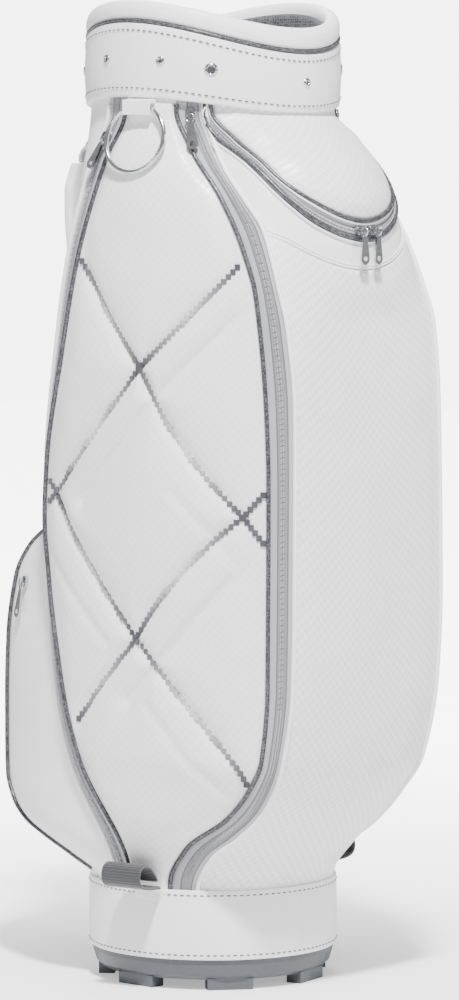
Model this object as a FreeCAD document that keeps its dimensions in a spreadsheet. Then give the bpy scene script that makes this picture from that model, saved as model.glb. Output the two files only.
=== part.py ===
"""Golf staff bag: base cup, body tube, divided mouth, padded collar, sewn pocket panels, zips and carry straps.

Frame: +Z up, -Y is the front of the bag, origin on the base axis at floor level. Lengths are millimetres.
Round positions are given as a bearing: 0 degrees is the front, positive turns towards +X.
"""

import FreeCAD, Part

import math
import os

import Sketcher
from FreeCAD import Placement, Rotation, Vector

DOC = FreeCAD.newDocument("golf_staff_bag")
SHEET = DOC.addObject("Spreadsheet::Sheet", "Sizes")
NODES = []

SIZES = [
    ("bag_height", 850.0, "floor to the highest point of the mouth's rim"),
    ("body_radius", 101.0, "outside of the body tube"),
    ("tube_wall", 1.8, "wall of the body tube"),
    ("fit_gap", 0.3, "clearance between pieces that fit together"),
    ("skin_thick", 3.5, "foam-backed panels, measured radially"),
    ("base_floor", 9.0, "underside of the base cup, which is the height of its feet"),
    ("cup_wall", 3.2, "wall and floor of the base cup"),
    ("cup_rim_top", 27.0, "top of the part of the cup that shows"),
    ("cup_skirt_top", 60.0, "top of the cup's skirt, hidden by the base band"),
    ("cup_taper", 3.0, "how much smaller the cup's foot is than its rim"),
    ("cup_flare", 1.2, "how far the cup's rim stands out past its skirt"),
    ("foot_count", 7, "feet moulded under the cup"),
    ("foot_wide", 40.0, "width of a foot round the cup"),
    ("foot_deep", 14.0, "radial depth of a foot"),
    ("foot_bearing", 14.0, "bearing of the first foot"),
    ("band_thick", 3.4, "base band"),
    ("band_top", 88.0, "top edge of the base band"),
    ("skin_bottom", 64.0, "lower edge of the panels, under the base band"),
    ("skin_top", "=bag_height - 78", "upper edge of the panels, under the collar band"),
    ("tube_top", "=bag_height - 62", "top of the body tube"),
    ("frame_top", "=tube_top + 12", "top of the collar frame"),
    ("frame_skirt", 26.0, "how far the collar frame reaches down inside the tube"),
    ("frame_wall", 3.0, "wall of the collar frame"),
    ("collar_thick", 5.0, "padded collar band"),
    ("rim_wave", 11.5, "rise of the piping and the rim over the sides, each way"),
    ("collar_low", "=bag_height - 89", "mean height of the collar band's lower edge"),
    ("collar_low_wave", 6.0, "rise of that edge over the sides, each way"),
    ("piping_level", "=bag_height - rim_wave - 19", "mean height of the collar piping"),
    ("rim_level", "=bag_height - rim_wave", "mean height of the mouth's rim"),
    ("piping_wide", 3.6, "collar piping"),
    ("rim_inner", "=body_radius - 5", "inside of the padded rim"),
    ("lining_thick", 1.2, "mesh lining of the mouth"),
    ("stud_radius", 4.2, "snap stud for the rain hood"),
    ("stud_high", 3.2, "how far a snap stud stands out"),
    ("bar_wide", 10.0, "padded divider bar"),
    ("bar_high", 20.0, "depth of a divider bar"),
    ("bar_top", "=bag_height - 58", "top of the divider bars"),
    ("front_bar_y", "=-0.238 * body_radius", "front divider bar"),
    ("back_bar_y", "=0.297 * body_radius", "back divider bar"),
    ("divider_thick", 1.6, "full-length divider cloth"),
    ("lid_top", "=bag_height - 98", "height where the upper pocket's outline widths are measured"),
    ("lid_bottom", "=bag_height - 186", "lowest point of the upper pocket's panel"),
    ("lid_corner", "=bag_height - 150", "height where its rounded bottom begins"),
    ("lid_half_top", 76.0, "half width of that panel at lid_top"),
    ("lid_half_low", 66.0, "half width where its rounded bottom begins"),
    ("zip_bottom", "=lid_bottom - 18", "lowest point of the upper pocket's zip"),
    ("zip_corner", "=lid_corner - 8", "height where the zip's rounded bottom begins"),
    ("zip_half_top", 81.0, "half width over the zip at lid_top"),
    ("zip_half_low", 72.0, "half width over the zip where its rounded bottom begins"),
    ("yoke_bottom", "=lid_bottom - 42", "lowest point of the plain strip below the zip"),
    ("yoke_corner", "=lid_corner - 45", "height where that strip's rounded bottom begins"),
    ("yoke_half_top", 96.0, "half width over the strip at lid_top"),
    ("yoke_half_low", 85.0, "half width over the strip where its rounded bottom begins"),
    ("seam_piping", 4.0, "width of the silver piping in the seams"),
    ("piping_proud", 3.0, "how far seam piping stands out"),
    ("ring_radius", 29.2, "towel ring, to the middle of its wire"),
    ("ring_wire", 2.0, "radius of the towel ring's wire"),
    ("ring_bearing", -80.0, "bearing of the towel ring"),
    ("tab_wide", 27.0, "leather tab that holds the towel ring"),
    ("tab_thick", 2.2, "leather of that tab"),
    ("loop_wide", 40.0, "grip loop webbing"),
    ("loop_thick", 2.6, "grip loop webbing"),
    ("loop_out", 34.0, "how far a grip loop stands out of the base"),
    ("loop_rise", 22.0, "height of a grip loop above the base band"),
    ("slider_long", 11.0, "zip slider along its chain"),
    ("slider_wide", 8.0, "zip slider across its chain"),
    ("slider_thick", 2.4, "zip slider's plates"),
    ("bridge_high", 4.2, "slider's bridge above its plate"),
    ("pull_wide", 10.0, "widest part of a pull"),
    ("pull_long", 25.0, "length of a pull's plate"),
    ("pull_thick", 1.8, "thickness of a pull's plate"),
    ("link_radius", 3.4, "link ring of a pull, to the middle of its wire"),
    ("link_wire", 0.75, "radius of that wire"),
    ("strap_x", -12.0, "where the shoulder strap hangs on the back"),
    ("pad_wide", 54.0, "shoulder pad"),
    ("pad_thick", 11.0, "shoulder pad"),
    ("webbing_wide", 30.0, "strap webbing"),
    ("webbing_thick", 2.4, "strap webbing"),
    ("dring_radius", 15.0, "strap ring, to the middle of its wire"),
    ("dring_wire", 2.0, "radius of that wire"),
    ("upper_ring_z", "=bag_height - 113", "height of the upper strap ring's tab"),
    ("lower_ring_z", "=upper_ring_z - 182", "height of the lower strap ring's tab"),
    ("handle_x", 50.0, "where the grab handle sits on the back"),
    ("handle_high", "=bag_height - 135", "upper end of the grab handle"),
    ("handle_low", "=handle_high - 155", "lower end of the grab handle"),
    ("handle_out", 36.0, "how far the grab handle stands off the back"),
    ("handle_grip", 9.0, "radius of the handle's grip"),
]


def fill_sheet():
    for row, (name, value, note) in enumerate(SIZES, start=1):
        SHEET.set(f"A{row}", name)
        SHEET.set(f"B{row}", str(value))
        SHEET.set(f"C{row}", note)
        SHEET.setAlias(f"B{row}", name)
    DOC.recompute()


def size(name):
    """The value of a driving dimension."""
    return float(SHEET.get(name))


def value(expression):
    """An expression of sheet cells as a plain number."""
    result = SHEET.evalExpression(expression)
    return float(getattr(result, "Value", result))


fill_sheet()


# ---------------------------------------------------------------- document helpers


def keep(obj, label):
    """Gives a finished sub-part the label that names its file."""
    obj.Label = label
    NODES.append(obj)
    return obj


def bind(obj, **expressions):
    for prop, expression in expressions.items():
        obj.setExpression(prop, expression)
    return obj


def feature(label, shape, placement=None):
    """A sub-part whose shape is made by Part's own functions."""
    obj = DOC.addObject("Part::Feature", label)
    obj.Shape = shape
    if placement is not None:
        obj.Placement = placement
    return keep(obj, label)


def plane_of(body, role):
    return next(f for f in body.Origin.OriginFeatures if f.Role == role)


def sketch_on(body, role, name):
    sketch = body.newObject("Sketcher::SketchObject", name)
    sketch.AttachmentSupport = [(plane_of(body, role), "")]
    sketch.MapMode = "FlatFace"
    return sketch


def drive_point(sketch, geometry, corner, x, y):
    """Ties a sketch point to two expressions, measured from the sketch's origin."""
    for kind, expression in (("DistanceX", x), ("DistanceY", y)):
        index = sketch.addConstraint(Sketcher.Constraint(kind, -1, 1, geometry, corner, value(expression)))
        sketch.setExpression(f"Constraints[{index}]", expression)


def outline(body, role, name, corners):
    """A closed outline of straight edges through corners given as pairs of expressions."""
    sketch = sketch_on(body, role, name)
    points = [Vector(value(x), value(y), 0) for x, y in corners]
    for a, b in zip(points, points[1:] + points[:1]):
        sketch.addGeometry(Part.LineSegment(a, b), False)
    last = len(points) - 1
    for i in range(len(points)):
        sketch.addConstraint(Sketcher.Constraint("Coincident", last if i == 0 else i - 1, 2, i, 1))
    for i, (x, y) in enumerate(corners):
        drive_point(sketch, i, 1, x, y)
    return sketch


def circle_sketch(body, role, name, x, y, radius):
    sketch = sketch_on(body, role, name)
    centre = Vector(value(x), value(y), 0)
    sketch.addGeometry(Part.Circle(centre, Vector(0, 0, 1), value(radius)), False)
    drive_point(sketch, 0, 3, x, y)
    index = sketch.addConstraint(Sketcher.Constraint("Radius", 0, value(radius)))
    sketch.setExpression(f"Constraints[{index}]", radius)
    return sketch


def new_body(name):
    return DOC.addObject("PartDesign::Body", name)


def revolved(name, corners):
    """A body turned about Z from an outline of (radius, height) expressions."""
    body = new_body(name)
    sketch = outline(body, "XZ_Plane", name + "_profile", corners)
    turn = body.newObject("PartDesign::Revolution", name + "_turn")
    turn.Profile = sketch
    turn.ReferenceAxis = (sketch, ["V_Axis"])
    turn.Angle = 360
    DOC.recompute()
    return body


def ring(name, inner, outer, low, high):
    """A plain ring about Z as a cut of two cylinders, its sizes bound to expressions."""
    solid = DOC.addObject("Part::Cylinder", name + "_outside")
    hole = DOC.addObject("Part::Cylinder", name + "_bore")
    bind(solid, Radius=outer, Height=f"{high} - ({low})")
    solid.setExpression("Placement.Base.z", low)
    bind(hole, Radius=inner, Height=f"{high} - ({low}) + 20")
    hole.setExpression("Placement.Base.z", f"{low} - 10")
    cut = DOC.addObject("Part::Cut", name + "_ring")
    cut.Base, cut.Tool = solid, hole
    DOC.recompute()
    return cut


# ---------------------------------------------------------------- the bag's skin


def smooth(rows, t):
    """Column values at t, from rows of (t, value, ...) joined by a monotone cubic."""
    t = min(max(t, rows[0][0]), rows[-1][0])
    i = max(k for k in range(len(rows) - 1) if rows[k][0] <= t)
    step = rows[i + 1][0] - rows[i][0]
    u = (t - rows[i][0]) / step
    values = []
    for column in range(1, len(rows[0])):
        slopes = [
            (b[column] - a[column]) / (b[0] - a[0]) for a, b in zip(rows[:-1], rows[1:])
        ]

        def tangent(k):
            if k == 0 or k == len(rows) - 1:
                return slopes[min(k, len(slopes) - 1)]
            before, after = slopes[k - 1], slopes[k]
            return 0.0 if before * after <= 0 else 2 * before * after / (before + after)

        a, b = rows[i][column], rows[i + 1][column]
        m0, m1 = tangent(i) * step, tangent(i + 1) * step
        values.append(
            a * (2 * u**3 - 3 * u**2 + 1)
            + m0 * (u**3 - 2 * u**2 + u)
            + b * (3 * u**2 - 2 * u**3)
            + m1 * (u**3 - u**2)
        )
    return values


# Seam lines as (share of the panel height, bearing, stand-off from the tube). The left side mirrors them.
TUCK = 3.8
FRONT_EDGE = [
    (0.0, 54, TUCK), (0.034, 53.4, TUCK), (0.078, 46.2, 24), (0.103, 37.7, 42), (0.143, 30.7, 66),
    (0.19, 28.5, 87), (0.29, 26.9, 101), (0.39, 26.8, 104), (0.62, 26.5, 102), (0.72, 27.8, 96),
    (0.765, 29, 86), (0.835, 31.3, 65), (0.876, 36.5, 45), (0.91, 42, 25), (0.945, 46.5, 9),
    (0.975, 50, TUCK), (1.0, 50, TUCK),
]
SIDE_FRONT_EDGE = [
    (0.0, 66.8, TUCK), (0.04, 66.8, TUCK), (0.086, 57.9, 12), (0.126, 41.9, 38), (0.164, 35.6, 59),
    (0.203, 32.9, 74), (0.29, 31.6, 79), (0.53, 31.4, 79.5), (0.62, 31.9, 78), (0.757, 34.2, 69.6),
    (0.814, 37.2, 56), (0.877, 44.1, 37), (0.938, 57, 10.5), (0.98, 63.6, TUCK), (1.0, 63.6, TUCK),
]
SIDE_REAR_EDGE = [
    (0.0, 87, TUCK), (0.04, 87, TUCK), (0.064, 87.3, 9), (0.184, 105, 32), (0.25, 110.7, 39),
    (0.323, 116.5, 42), (0.41, 124.5, 44), (0.479, 128, 46), (0.541, 126, 45), (0.669, 115.5, 39),
    (0.8, 107, 31), (0.915, 98.4, 15), (0.975, 91, TUCK), (1.0, 90, TUCK),
]
REAR_ZIP_EDGE = [
    (0.0, 97, TUCK), (0.04, 97, TUCK), (0.064, 97.5, 9), (0.184, 115.5, 31), (0.25, 121.3, 38),
    (0.323, 127.3, 41), (0.41, 135.3, 43), (0.479, 138.8, 45), (0.541, 136.8, 44), (0.669, 126.3, 38),
    (0.8, 118, 30), (0.915, 110, 15), (0.975, 104, TUCK), (1.0, 103, TUCK),
]
BACK_CORNER = [
    (0.0, 118, TUCK), (0.035, 118, TUCK), (0.062, 126, 24), (0.082, 136, 46), (0.098, 144, 65),
    (0.117, 149, 78), (0.15, 152, 87), (0.2, 153.6, 89.5), (0.25, 153.6, 89.5), (0.323, 153.6, 88),
    (0.397, 154, 81), (0.435, 154, 68), (0.468, 154, 42), (0.489, 154, 20),
]
# How far each panel's middle stands out past the straight run between its edges.
FRONT_CROWN = [
    (0.0, 0), (0.06, 0), (0.103, -5), (0.143, -10), (0.19, -14), (0.29, -15), (0.39, -15),
    (0.53, -16), (0.62, -18), (0.72, -19), (0.765, -8), (0.835, 12), (0.876, 31), (0.91, 38),
    (0.945, 28), (0.962, 12), (0.974, 0), (1.0, 0),
]
SIDE_CROWN = [
    (0.0, 0), (0.04, 0), (0.086, 3), (0.13, -4), (0.184, -16), (0.25, -22), (0.4, -26), (0.53, -26),
    (0.669, -22), (0.757, -19), (0.814, -15), (0.877, -5), (0.938, 2), (0.98, 0), (1.0, 0),
]
BACK_CROWN = [(0.0, 0), (0.062, -2), (0.098, -4), (0.15, -6), (0.435, -8), (0.468, -11), (0.489, -14)]
WALL_CROWN = [(0.0, 0), (0.07, 0), (0.15, -5), (0.489, -5)]
SPINE_CROWN = [(0.489, -40), (0.541, -39), (0.669, -33), (0.8, -26), (0.915, -10), (0.975, 0), (1.0, 0)]
BACK_POCKET_TOP = 0.489
SECTIONS = 27


def mirrored(rows):
    """The same seam line on the -X side."""
    return [(t, -bearing, out) for t, bearing, out in rows]


def height(t):
    return size("skin_bottom") + t * (size("skin_top") - size("skin_bottom"))


def polar(bearing, radius, z):
    a = math.radians(bearing)
    return Vector(radius * math.sin(a), -radius * math.cos(a), z)


def behind(rows):
    """The same line carried on past 180 degrees, for panels that cross the back."""
    return [(t, 360 + bearing if bearing < 0 else bearing, out) for t, bearing, out in rows]


def on_panel(left, right, crown, s, t, lift=0.0):
    """A point of a panel: s runs from its left seam to its right one, t up its height."""
    (a0, r0), (a1, r1) = smooth(left, t), smooth(right, t)
    (bulge,) = smooth(crown, t)
    radius = size("body_radius") + r0 + s * (r1 - r0) + 4 * s * (1 - s) * bulge + lift
    return polar(a0 + s * (a1 - a0), radius, height(t))


def stations(low, high, count):
    """Where a panel's sections are taken, closer together towards its ends."""
    spots = []
    for k in range(count):
        share = k / (count - 1)
        eased = (1 - math.cos(math.pi * share)) / 2
        spots.append(low + (high - low) * (0.4 * share + 0.6 * eased))
    return spots


def section(left, right, crown, t, thick, lift, inset, points):
    """The closed wire of a panel's cross-section at t."""
    span = (on_panel(left, right, crown, 1, t) - on_panel(left, right, crown, 0, t)).Length
    edge = inset / span
    shares = [edge + (1 - 2 * edge) * k / (points - 1) for k in range(points)]
    outside = [on_panel(left, right, crown, s, t, lift) for s in shares]
    inside = [on_panel(left, right, crown, s, t, lift - thick) for s in reversed(shares)]

    def curve(run):
        if len(run) == 2:
            return Part.LineSegment(run[0], run[1]).toShape()
        spline = Part.BSplineCurve()
        spline.interpolate(Points=run, Parameters=[k / (len(run) - 1) for k in range(len(run))])
        return spline.toShape()

    return Part.Wire(
        [
            curve(outside),
            Part.LineSegment(outside[-1], inside[0]).toShape(),
            curve(inside),
            Part.LineSegment(inside[-1], outside[0]).toShape(),
        ]
    )


def panel_shape(left, right, crown, low=0.0, high=1.0, thick=None, lift=0.0, inset=None, points=7, count=SECTIONS):
    """A curved panel of even thickness between two seam lines."""
    thick = size("skin_thick") if thick is None else thick
    inset = size("fit_gap") / 2 if inset is None else inset
    spots = stations(low, high, count)
    wires = [section(left, right, crown, t, thick, lift, inset, points) for t in spots]
    return Part.makeLoft(wires, True, False)


NO_CROWN = [(0.0, 0), (1.0, 0)]


def draped(line, before, after, low, high):
    """Edges and crown of a strip laid along a seam line, so that it rests on the panels beside it.

    before and after are (other seam line, crown) of those panels.
    """
    half = size("seam_piping") / 2
    left, right, crown = [], [], []
    for t in stations(low, high, SECTIONS):
        bearing, out = smooth(line, t)
        turn = math.degrees(half / (size("body_radius") + out))
        outs = []
        for rows, bulges in (before, after):
            far_bearing, far_out = smooth(rows, t)
            share = turn / abs(bearing - far_bearing)
            outs.append(out + share * (far_out - out) + 4 * share * (1 - share) * smooth(bulges, t)[0])
        left.append((t, bearing - turn, outs[0]))
        right.append((t, bearing + turn, outs[1]))
        crown.append((t, out - sum(outs) / 2))
    return left, right, crown


def seam_piping(label, seams, beside, low=0.0, high=1.0):
    """Strips of piping that stand on seam lines, as one node, clear of the pieces beside them."""
    low, high = max(low, 0.03), min(high, 0.985)
    proud = size("piping_proud")
    strips = []
    for line, before, after in seams:
        left, right, crown = draped(line, before, after, low, high)
        strip = panel_shape(
            left, right, crown, low, high, thick=proud, lift=proud + size("fit_gap"), inset=0.0, points=3
        )
        strips.append(clear_of_rings(cut_all(strip, beside)))
    return feature(label, Part.makeCompound(strips) if len(strips) > 1 else strips[0])


# ---------------------------------------------------------------- base and tube


def cut_all(shape, tools):
    for tool in tools:
        shape = shape.cut(tool)
    return shape


def build_base():
    tube_outside = "Sizes.body_radius"
    skirt_in = f"({tube_outside} + Sizes.fit_gap)"
    skirt_out = f"({skirt_in} + Sizes.cup_wall)"
    rim = f"({skirt_out} + Sizes.cup_flare)"
    foot = f"({rim} - Sizes.cup_taper)"
    low, top = "Sizes.base_floor", "Sizes.cup_rim_top"
    cup = revolved(
        "base_cup",
        [
            ("0", low), (f"{foot} - 4", low), (foot, f"{low} + 4"), (rim, f"{top} - 4"), (rim, top),
            (skirt_out, top), (skirt_out, "Sizes.cup_skirt_top"), (skirt_in, "Sizes.cup_skirt_top"),
            (skirt_in, f"{low} + Sizes.cup_wall"), ("0", f"{low} + Sizes.cup_wall"),
        ],
    )
    outer = f"({foot} - 1)"
    pad = cup.newObject("PartDesign::Pad", "foot")
    pad.Profile = outline(
        cup, "XY_Plane", "foot_outline",
        [
            ("-Sizes.foot_wide / 2", f"-{outer} * 0.975 + Sizes.foot_deep"),
            ("-Sizes.foot_wide / 2", f"-{outer} * 0.975"),
            ("Sizes.foot_wide / 2", f"-{outer} * 0.975"),
            ("Sizes.foot_wide / 2", f"-{outer} * 0.975 + Sizes.foot_deep"),
        ],
    )
    pad.setExpression("Length", f"{low} + 1")
    DOC.recompute()
    feet = cup.newObject("PartDesign::PolarPattern", "feet")
    feet.Originals = [pad]
    feet.Axis = (pad.Profile[0], ["N_Axis"])
    feet.Angle = 360
    feet.setExpression("Occurrences", "Sizes.foot_count")
    cup.Tip = feet
    cup.Placement = Placement(Vector(), Rotation(Vector(0, 0, 1), size("foot_bearing")))
    keep(cup, "base_cup")

    tube = ring(
        "body_tube", "Sizes.body_radius - Sizes.tube_wall", "Sizes.body_radius",
        "Sizes.base_floor + Sizes.cup_wall + Sizes.fit_gap", "Sizes.tube_top",
    )
    keep(tube, "body_tube")
    band_in = "(Sizes.body_radius + Sizes.skin_thick + 2 * Sizes.fit_gap)"
    band = ring("base_band", band_in, f"{band_in} + Sizes.band_thick", "Sizes.cup_rim_top + Sizes.fit_gap", "Sizes.band_top")
    keep(band, "base_band")


# ---------------------------------------------------------------- mouth and collar


def saddle_slab(level, wave, tall):
    """A slab whose underside rises by the wave over the sides and dips by it at front and back."""
    reach = 1.5 * size("body_radius")
    fall = wave * (reach / size("body_radius")) ** 2
    surface = Part.BezierSurface()
    surface.increase(2, 2)
    for i, u in enumerate((-1, 0, 1)):
        for j, v in enumerate((-1, 0, 1)):
            across = 1 if u else -1
            along = 1 if v else -1
            surface.setPole(i + 1, j + 1, Vector(u * reach, v * reach, level + fall * (across - along)))
    return surface.toShape().extrude(Vector(0, 0, tall))


def ring_shape(inner, outer, low, high):
    outside = Part.makeCylinder(outer, high - low, Vector(0, 0, low))
    return outside.cut(Part.makeCylinder(inner, high - low + 2, Vector(0, 0, low - 1)))


def between(shape, low_level, low_wave, high_level, high_wave):
    """The part of a shape between two saddle surfaces."""
    tall = 200
    return shape.common(saddle_slab(low_level, low_wave, tall)).cut(saddle_slab(high_level, high_wave, tall))


def collar_radii():
    inner = size("body_radius") + size("skin_thick") + 2 * size("fit_gap")
    return inner, inner + size("collar_thick")


def build_mouth():
    gap = size("fit_gap")
    bore = size("body_radius") - size("tube_wall")
    frame = revolved(
        "collar_frame",
        [
            (f"{bore} - Sizes.fit_gap - Sizes.frame_wall", "Sizes.tube_top - Sizes.frame_skirt"),
            (f"{bore} - Sizes.fit_gap", "Sizes.tube_top - Sizes.frame_skirt"),
            (f"{bore} - Sizes.fit_gap", "Sizes.tube_top + Sizes.fit_gap"),
            ("Sizes.body_radius + Sizes.skin_thick", "Sizes.tube_top + Sizes.fit_gap"),
            ("Sizes.body_radius + Sizes.skin_thick", "Sizes.frame_top"),
            (f"{bore} - Sizes.fit_gap - Sizes.frame_wall", "Sizes.frame_top"),
        ],
    )
    keep(frame, "collar_frame")

    frame_in = bore - gap - size("frame_wall")
    bar_reach = frame_in - gap
    top, half = size("bar_top"), size("bar_wide") / 2
    disc = Part.makeCylinder(bar_reach, size("bar_high"), Vector(0, 0, top - size("bar_high")))

    def slab(x0, x1, y0, y1, low, high):
        return Part.makeBox(x1 - x0, y1 - y0, high - low, Vector(x0, y0, low))

    def across(y, thick, low, high):
        return slab(-bar_reach, bar_reach, y - thick / 2, y + thick / 2, low, high)

    front_y, back_y = size("front_bar_y"), size("back_bar_y")
    low = top - size("bar_high")
    bars = across(front_y, 2 * half, low, top).fuse(across(back_y, 2 * half, low, top))
    bars = bars.fuse(slab(-half, half, front_y, back_y, low, top))
    bars = bars.fuse(slab(-half, half, back_y, bar_reach, low, top))
    feature("divider_grid", bars.removeSplitter().common(disc))

    thin = size("divider_thick")
    floor = size("base_floor") + size("cup_wall") + gap
    cloth_top = low - gap
    well = Part.makeCylinder(frame_in - gap, cloth_top - floor, Vector(0, 0, floor))
    cloths = [
        across(front_y, thin, floor, cloth_top),
        across(back_y, thin, floor, cloth_top),
        slab(-thin / 2, thin / 2, front_y + thin / 2 + gap, back_y - thin / 2 - gap, floor, cloth_top),
        slab(-thin / 2, thin / 2, back_y + thin / 2 + gap, bar_reach, floor, cloth_top),
    ]
    feature("divider_cloths", Part.makeCompound([c.common(well) for c in cloths]))

    inner, outer = collar_radii()
    half_piping = size("piping_wide") / 2
    piping, wave, rim = size("piping_level"), size("rim_wave"), size("rim_level")
    band = between(
        ring_shape(inner, outer, size("collar_low") - 60, rim + 40),
        size("collar_low"), size("collar_low_wave"), piping - half_piping - gap, wave,
    )
    feature("collar_band", band)
    feature(
        "collar_piping",
        between(ring_shape(inner + 1.5, outer + 1.2, piping - 60, rim + 40), piping - half_piping, wave, piping + half_piping, wave),
    )
    rim_in = size("rim_inner")
    crown = ring_shape(rim_in, outer, piping - 60, rim + 60)
    crown = between(crown, piping + half_piping + gap, wave, rim, wave)
    core = ring_shape(rim_in, inner - gap, size("frame_top") + gap, rim + 60)
    core = core.cut(saddle_slab(piping + half_piping + gap, wave, 200))
    feature("rim_roll", crown.fuse(core).removeSplitter())
    lining = ring_shape(rim_in - gap - size("lining_thick"), rim_in - gap, size("frame_top") + gap, rim + 60)
    feature("mouth_lining", lining.cut(saddle_slab(rim - 8, wave, 200)))


# bearing of each snap stud, and whether it is one of the two larger sockets
STUDS = [(0, 0), (47, 1), (-47, 1), (70, 0), (-70, 0), (101, 0), (-101, 0), (136, 0), (-136, 0)]
SOCKET_SCALE = 1.45


def wave_at(level, wave, bearing):
    return level - wave * math.cos(2 * math.radians(bearing))


def build_studs():
    _, outer = collar_radii()
    studs = []
    for bearing, large in STUDS:
        low = wave_at(size("collar_low"), size("collar_low_wave"), bearing)
        high = wave_at(size("piping_level"), size("rim_wave"), bearing)
        radius = size("stud_radius") * (SOCKET_SCALE if large else 1.0)
        out = polar(bearing, 1, 0)
        seat = polar(bearing, outer + size("fit_gap"), (low + high) / 2)
        stud = Part.makeCylinder(radius, size("stud_high"), seat, out)
        rim_edges = [e for e in stud.Edges if e.Closed and (e.CenterOfMass - seat).Length > 1]
        studs.append(stud.makeFillet(0.9, rim_edges))
    feature("hood_studs", Part.makeCompound(studs))


# ---------------------------------------------------------------- panels and zips


def largest(shape):
    """The main solid of a trimmed piece, without the slivers that trimming can leave."""
    return max(shape.Solids, key=lambda solid: solid.Volume)


RINGS = []


def clear_of_rings(shape):
    """A skin piece trimmed where it would touch the tube, the base band or the collar."""
    if not RINGS:
        gap = size("fit_gap") / 2
        inner, outer = collar_radii()
        band_out = inner + size("band_thick") + 6
        RINGS.append(Part.makeCylinder(size("body_radius") + gap, 2 * size("bag_height")))
        RINGS.append(ring_shape(inner - gap, band_out, size("cup_rim_top"), size("band_top") + gap))
        collar = ring_shape(inner - gap, outer + gap, size("collar_low") - 60, size("bag_height"))
        RINGS.append(collar.common(saddle_slab(size("collar_low") - gap, size("collar_low_wave"), 200)))
    return largest(cut_all(shape, RINGS))


def u_prism(part, gap=0.0):
    """A block in front of the bag, U-shaped as seen from the front, out to an edge of the upper pocket.

    part is lid, zip or yoke: the sizes named for it give the outline, moved out by the gap.
    """
    top_z = size("skin_top") + 30
    low, high = size(f"{part}_half_low") + gap, size(f"{part}_half_top") + gap
    corner, bottom = size(f"{part}_corner"), size(f"{part}_bottom") - gap
    lean = (high - low) / (size("lid_top") - corner)
    top = high + lean * (top_z - size("lid_top"))
    shape = [
        Part.LineSegment(Vector(low, 0, corner), Vector(top, 0, top_z)),
        Part.LineSegment(Vector(top, 0, top_z), Vector(-top, 0, top_z)),
        Part.LineSegment(Vector(-top, 0, top_z), Vector(-low, 0, corner)),
        Part.Arc(Vector(-low, 0, corner), Vector(0, 0, bottom), Vector(low, 0, corner)),
    ]
    face = Part.Face(Part.Wire([edge.toShape() for edge in shape]))
    return face.extrude(Vector(0, -3 * size("body_radius"), 0))


def build_skin():
    """Every sewn panel, zip band and seam piping, built together because each is trimmed to its neighbours."""
    gap = size("fit_gap")
    front = clear_of_rings(panel_shape(mirrored(FRONT_EDGE), FRONT_EDGE, FRONT_CROWN, points=9))
    feature("upper_pocket_panel", front.common(u_prism("lid")))
    feature("upper_zip", front.common(u_prism("zip")).cut(u_prism("lid", gap)))
    feature("yoke_panel", front.common(u_prism("yoke")).cut(u_prism("zip", gap)))
    feature("front_panel", front.cut(u_prism("yoke", gap)))
    left_zip, left_corner = behind(mirrored(REAR_ZIP_EDGE)), behind(mirrored(BACK_CORNER))
    top = BACK_POCKET_TOP
    back = clear_of_rings(panel_shape(BACK_CORNER, left_corner, BACK_CROWN, 0, top, points=9))
    feature("back_pocket_panel", back)
    beside_spine = []
    for side, name in ((1, "right"), (-1, "left")):
        def line(rows):
            return rows if side > 0 else mirrored(rows)

        def between_seams(first, second, crown, low=0.0, high=1.0, points=3, inset=2 * gap):
            ends = (line(first), line(second)) if side > 0 else (line(second), line(first))
            return clear_of_rings(panel_shape(*ends, crown, low, high, inset=inset, points=points))

        quilted = between_seams(SIDE_FRONT_EDGE, SIDE_REAR_EDGE, SIDE_CROWN, points=9, inset=gap / 2)
        front_zip = between_seams(FRONT_EDGE, SIDE_FRONT_EDGE, NO_CROWN)
        rear_zip = between_seams(SIDE_REAR_EDGE, REAR_ZIP_EDGE, NO_CROWN)
        wall = between_seams(REAR_ZIP_EDGE, BACK_CORNER, WALL_CROWN, 0, top, points=5)
        wall = largest(wall.cut(rear_zip))
        for label, shape in (
            ("front_zip", front_zip), ("side_panel", quilted), ("rear_zip", rear_zip), ("back_wall", wall)
        ):
            feature(f"{label}_{name}", shape)
        beside_spine.append(rear_zip)
        front_seam = [(line(FRONT_EDGE), NO_CROWN), (line(SIDE_REAR_EDGE), SIDE_CROWN)]
        rear_seam = [(line(SIDE_FRONT_EDGE), SIDE_CROWN), (line(REAR_ZIP_EDGE), NO_CROWN)]
        back_seam = [(line(REAR_ZIP_EDGE), WALL_CROWN), (behind(mirrored(BACK_CORNER)), BACK_CROWN)]
        if side < 0:
            front_seam.reverse()
            rear_seam.reverse()
        seam_piping(
            f"side_piping_{name}",
            [(line(SIDE_FRONT_EDGE), *front_seam), (line(SIDE_REAR_EDGE), *rear_seam)],
            [front_zip, quilted, rear_zip],
        )
        if side > 0:
            back_seams = [(BACK_CORNER, *back_seam)]
            walls = [wall]
        else:
            back_seams.append((left_corner, (BACK_CORNER, BACK_CROWN), (left_zip, WALL_CROWN)))
            walls.append(wall)
    seam_piping("back_piping", back_seams, [back, *walls], 0.04, top - 0.01)
    spine = clear_of_rings(panel_shape(REAR_ZIP_EDGE, left_zip, SPINE_CROWN, top + 0.002, 1, points=9))
    feature("spine_panel", largest(cut_all(spine, beside_spine)))


# ---------------------------------------------------------------- hardware frames


def seat(point, out, up=Vector(0, 0, 1)):
    """A placement at a point: local +Y points out of the bag and local +Z is as near up as it can be."""
    out = Vector(out).normalize()
    side = out.cross(up).normalize()
    return Placement(point, Rotation(side, out, side.cross(out), "YXZ"))


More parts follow.
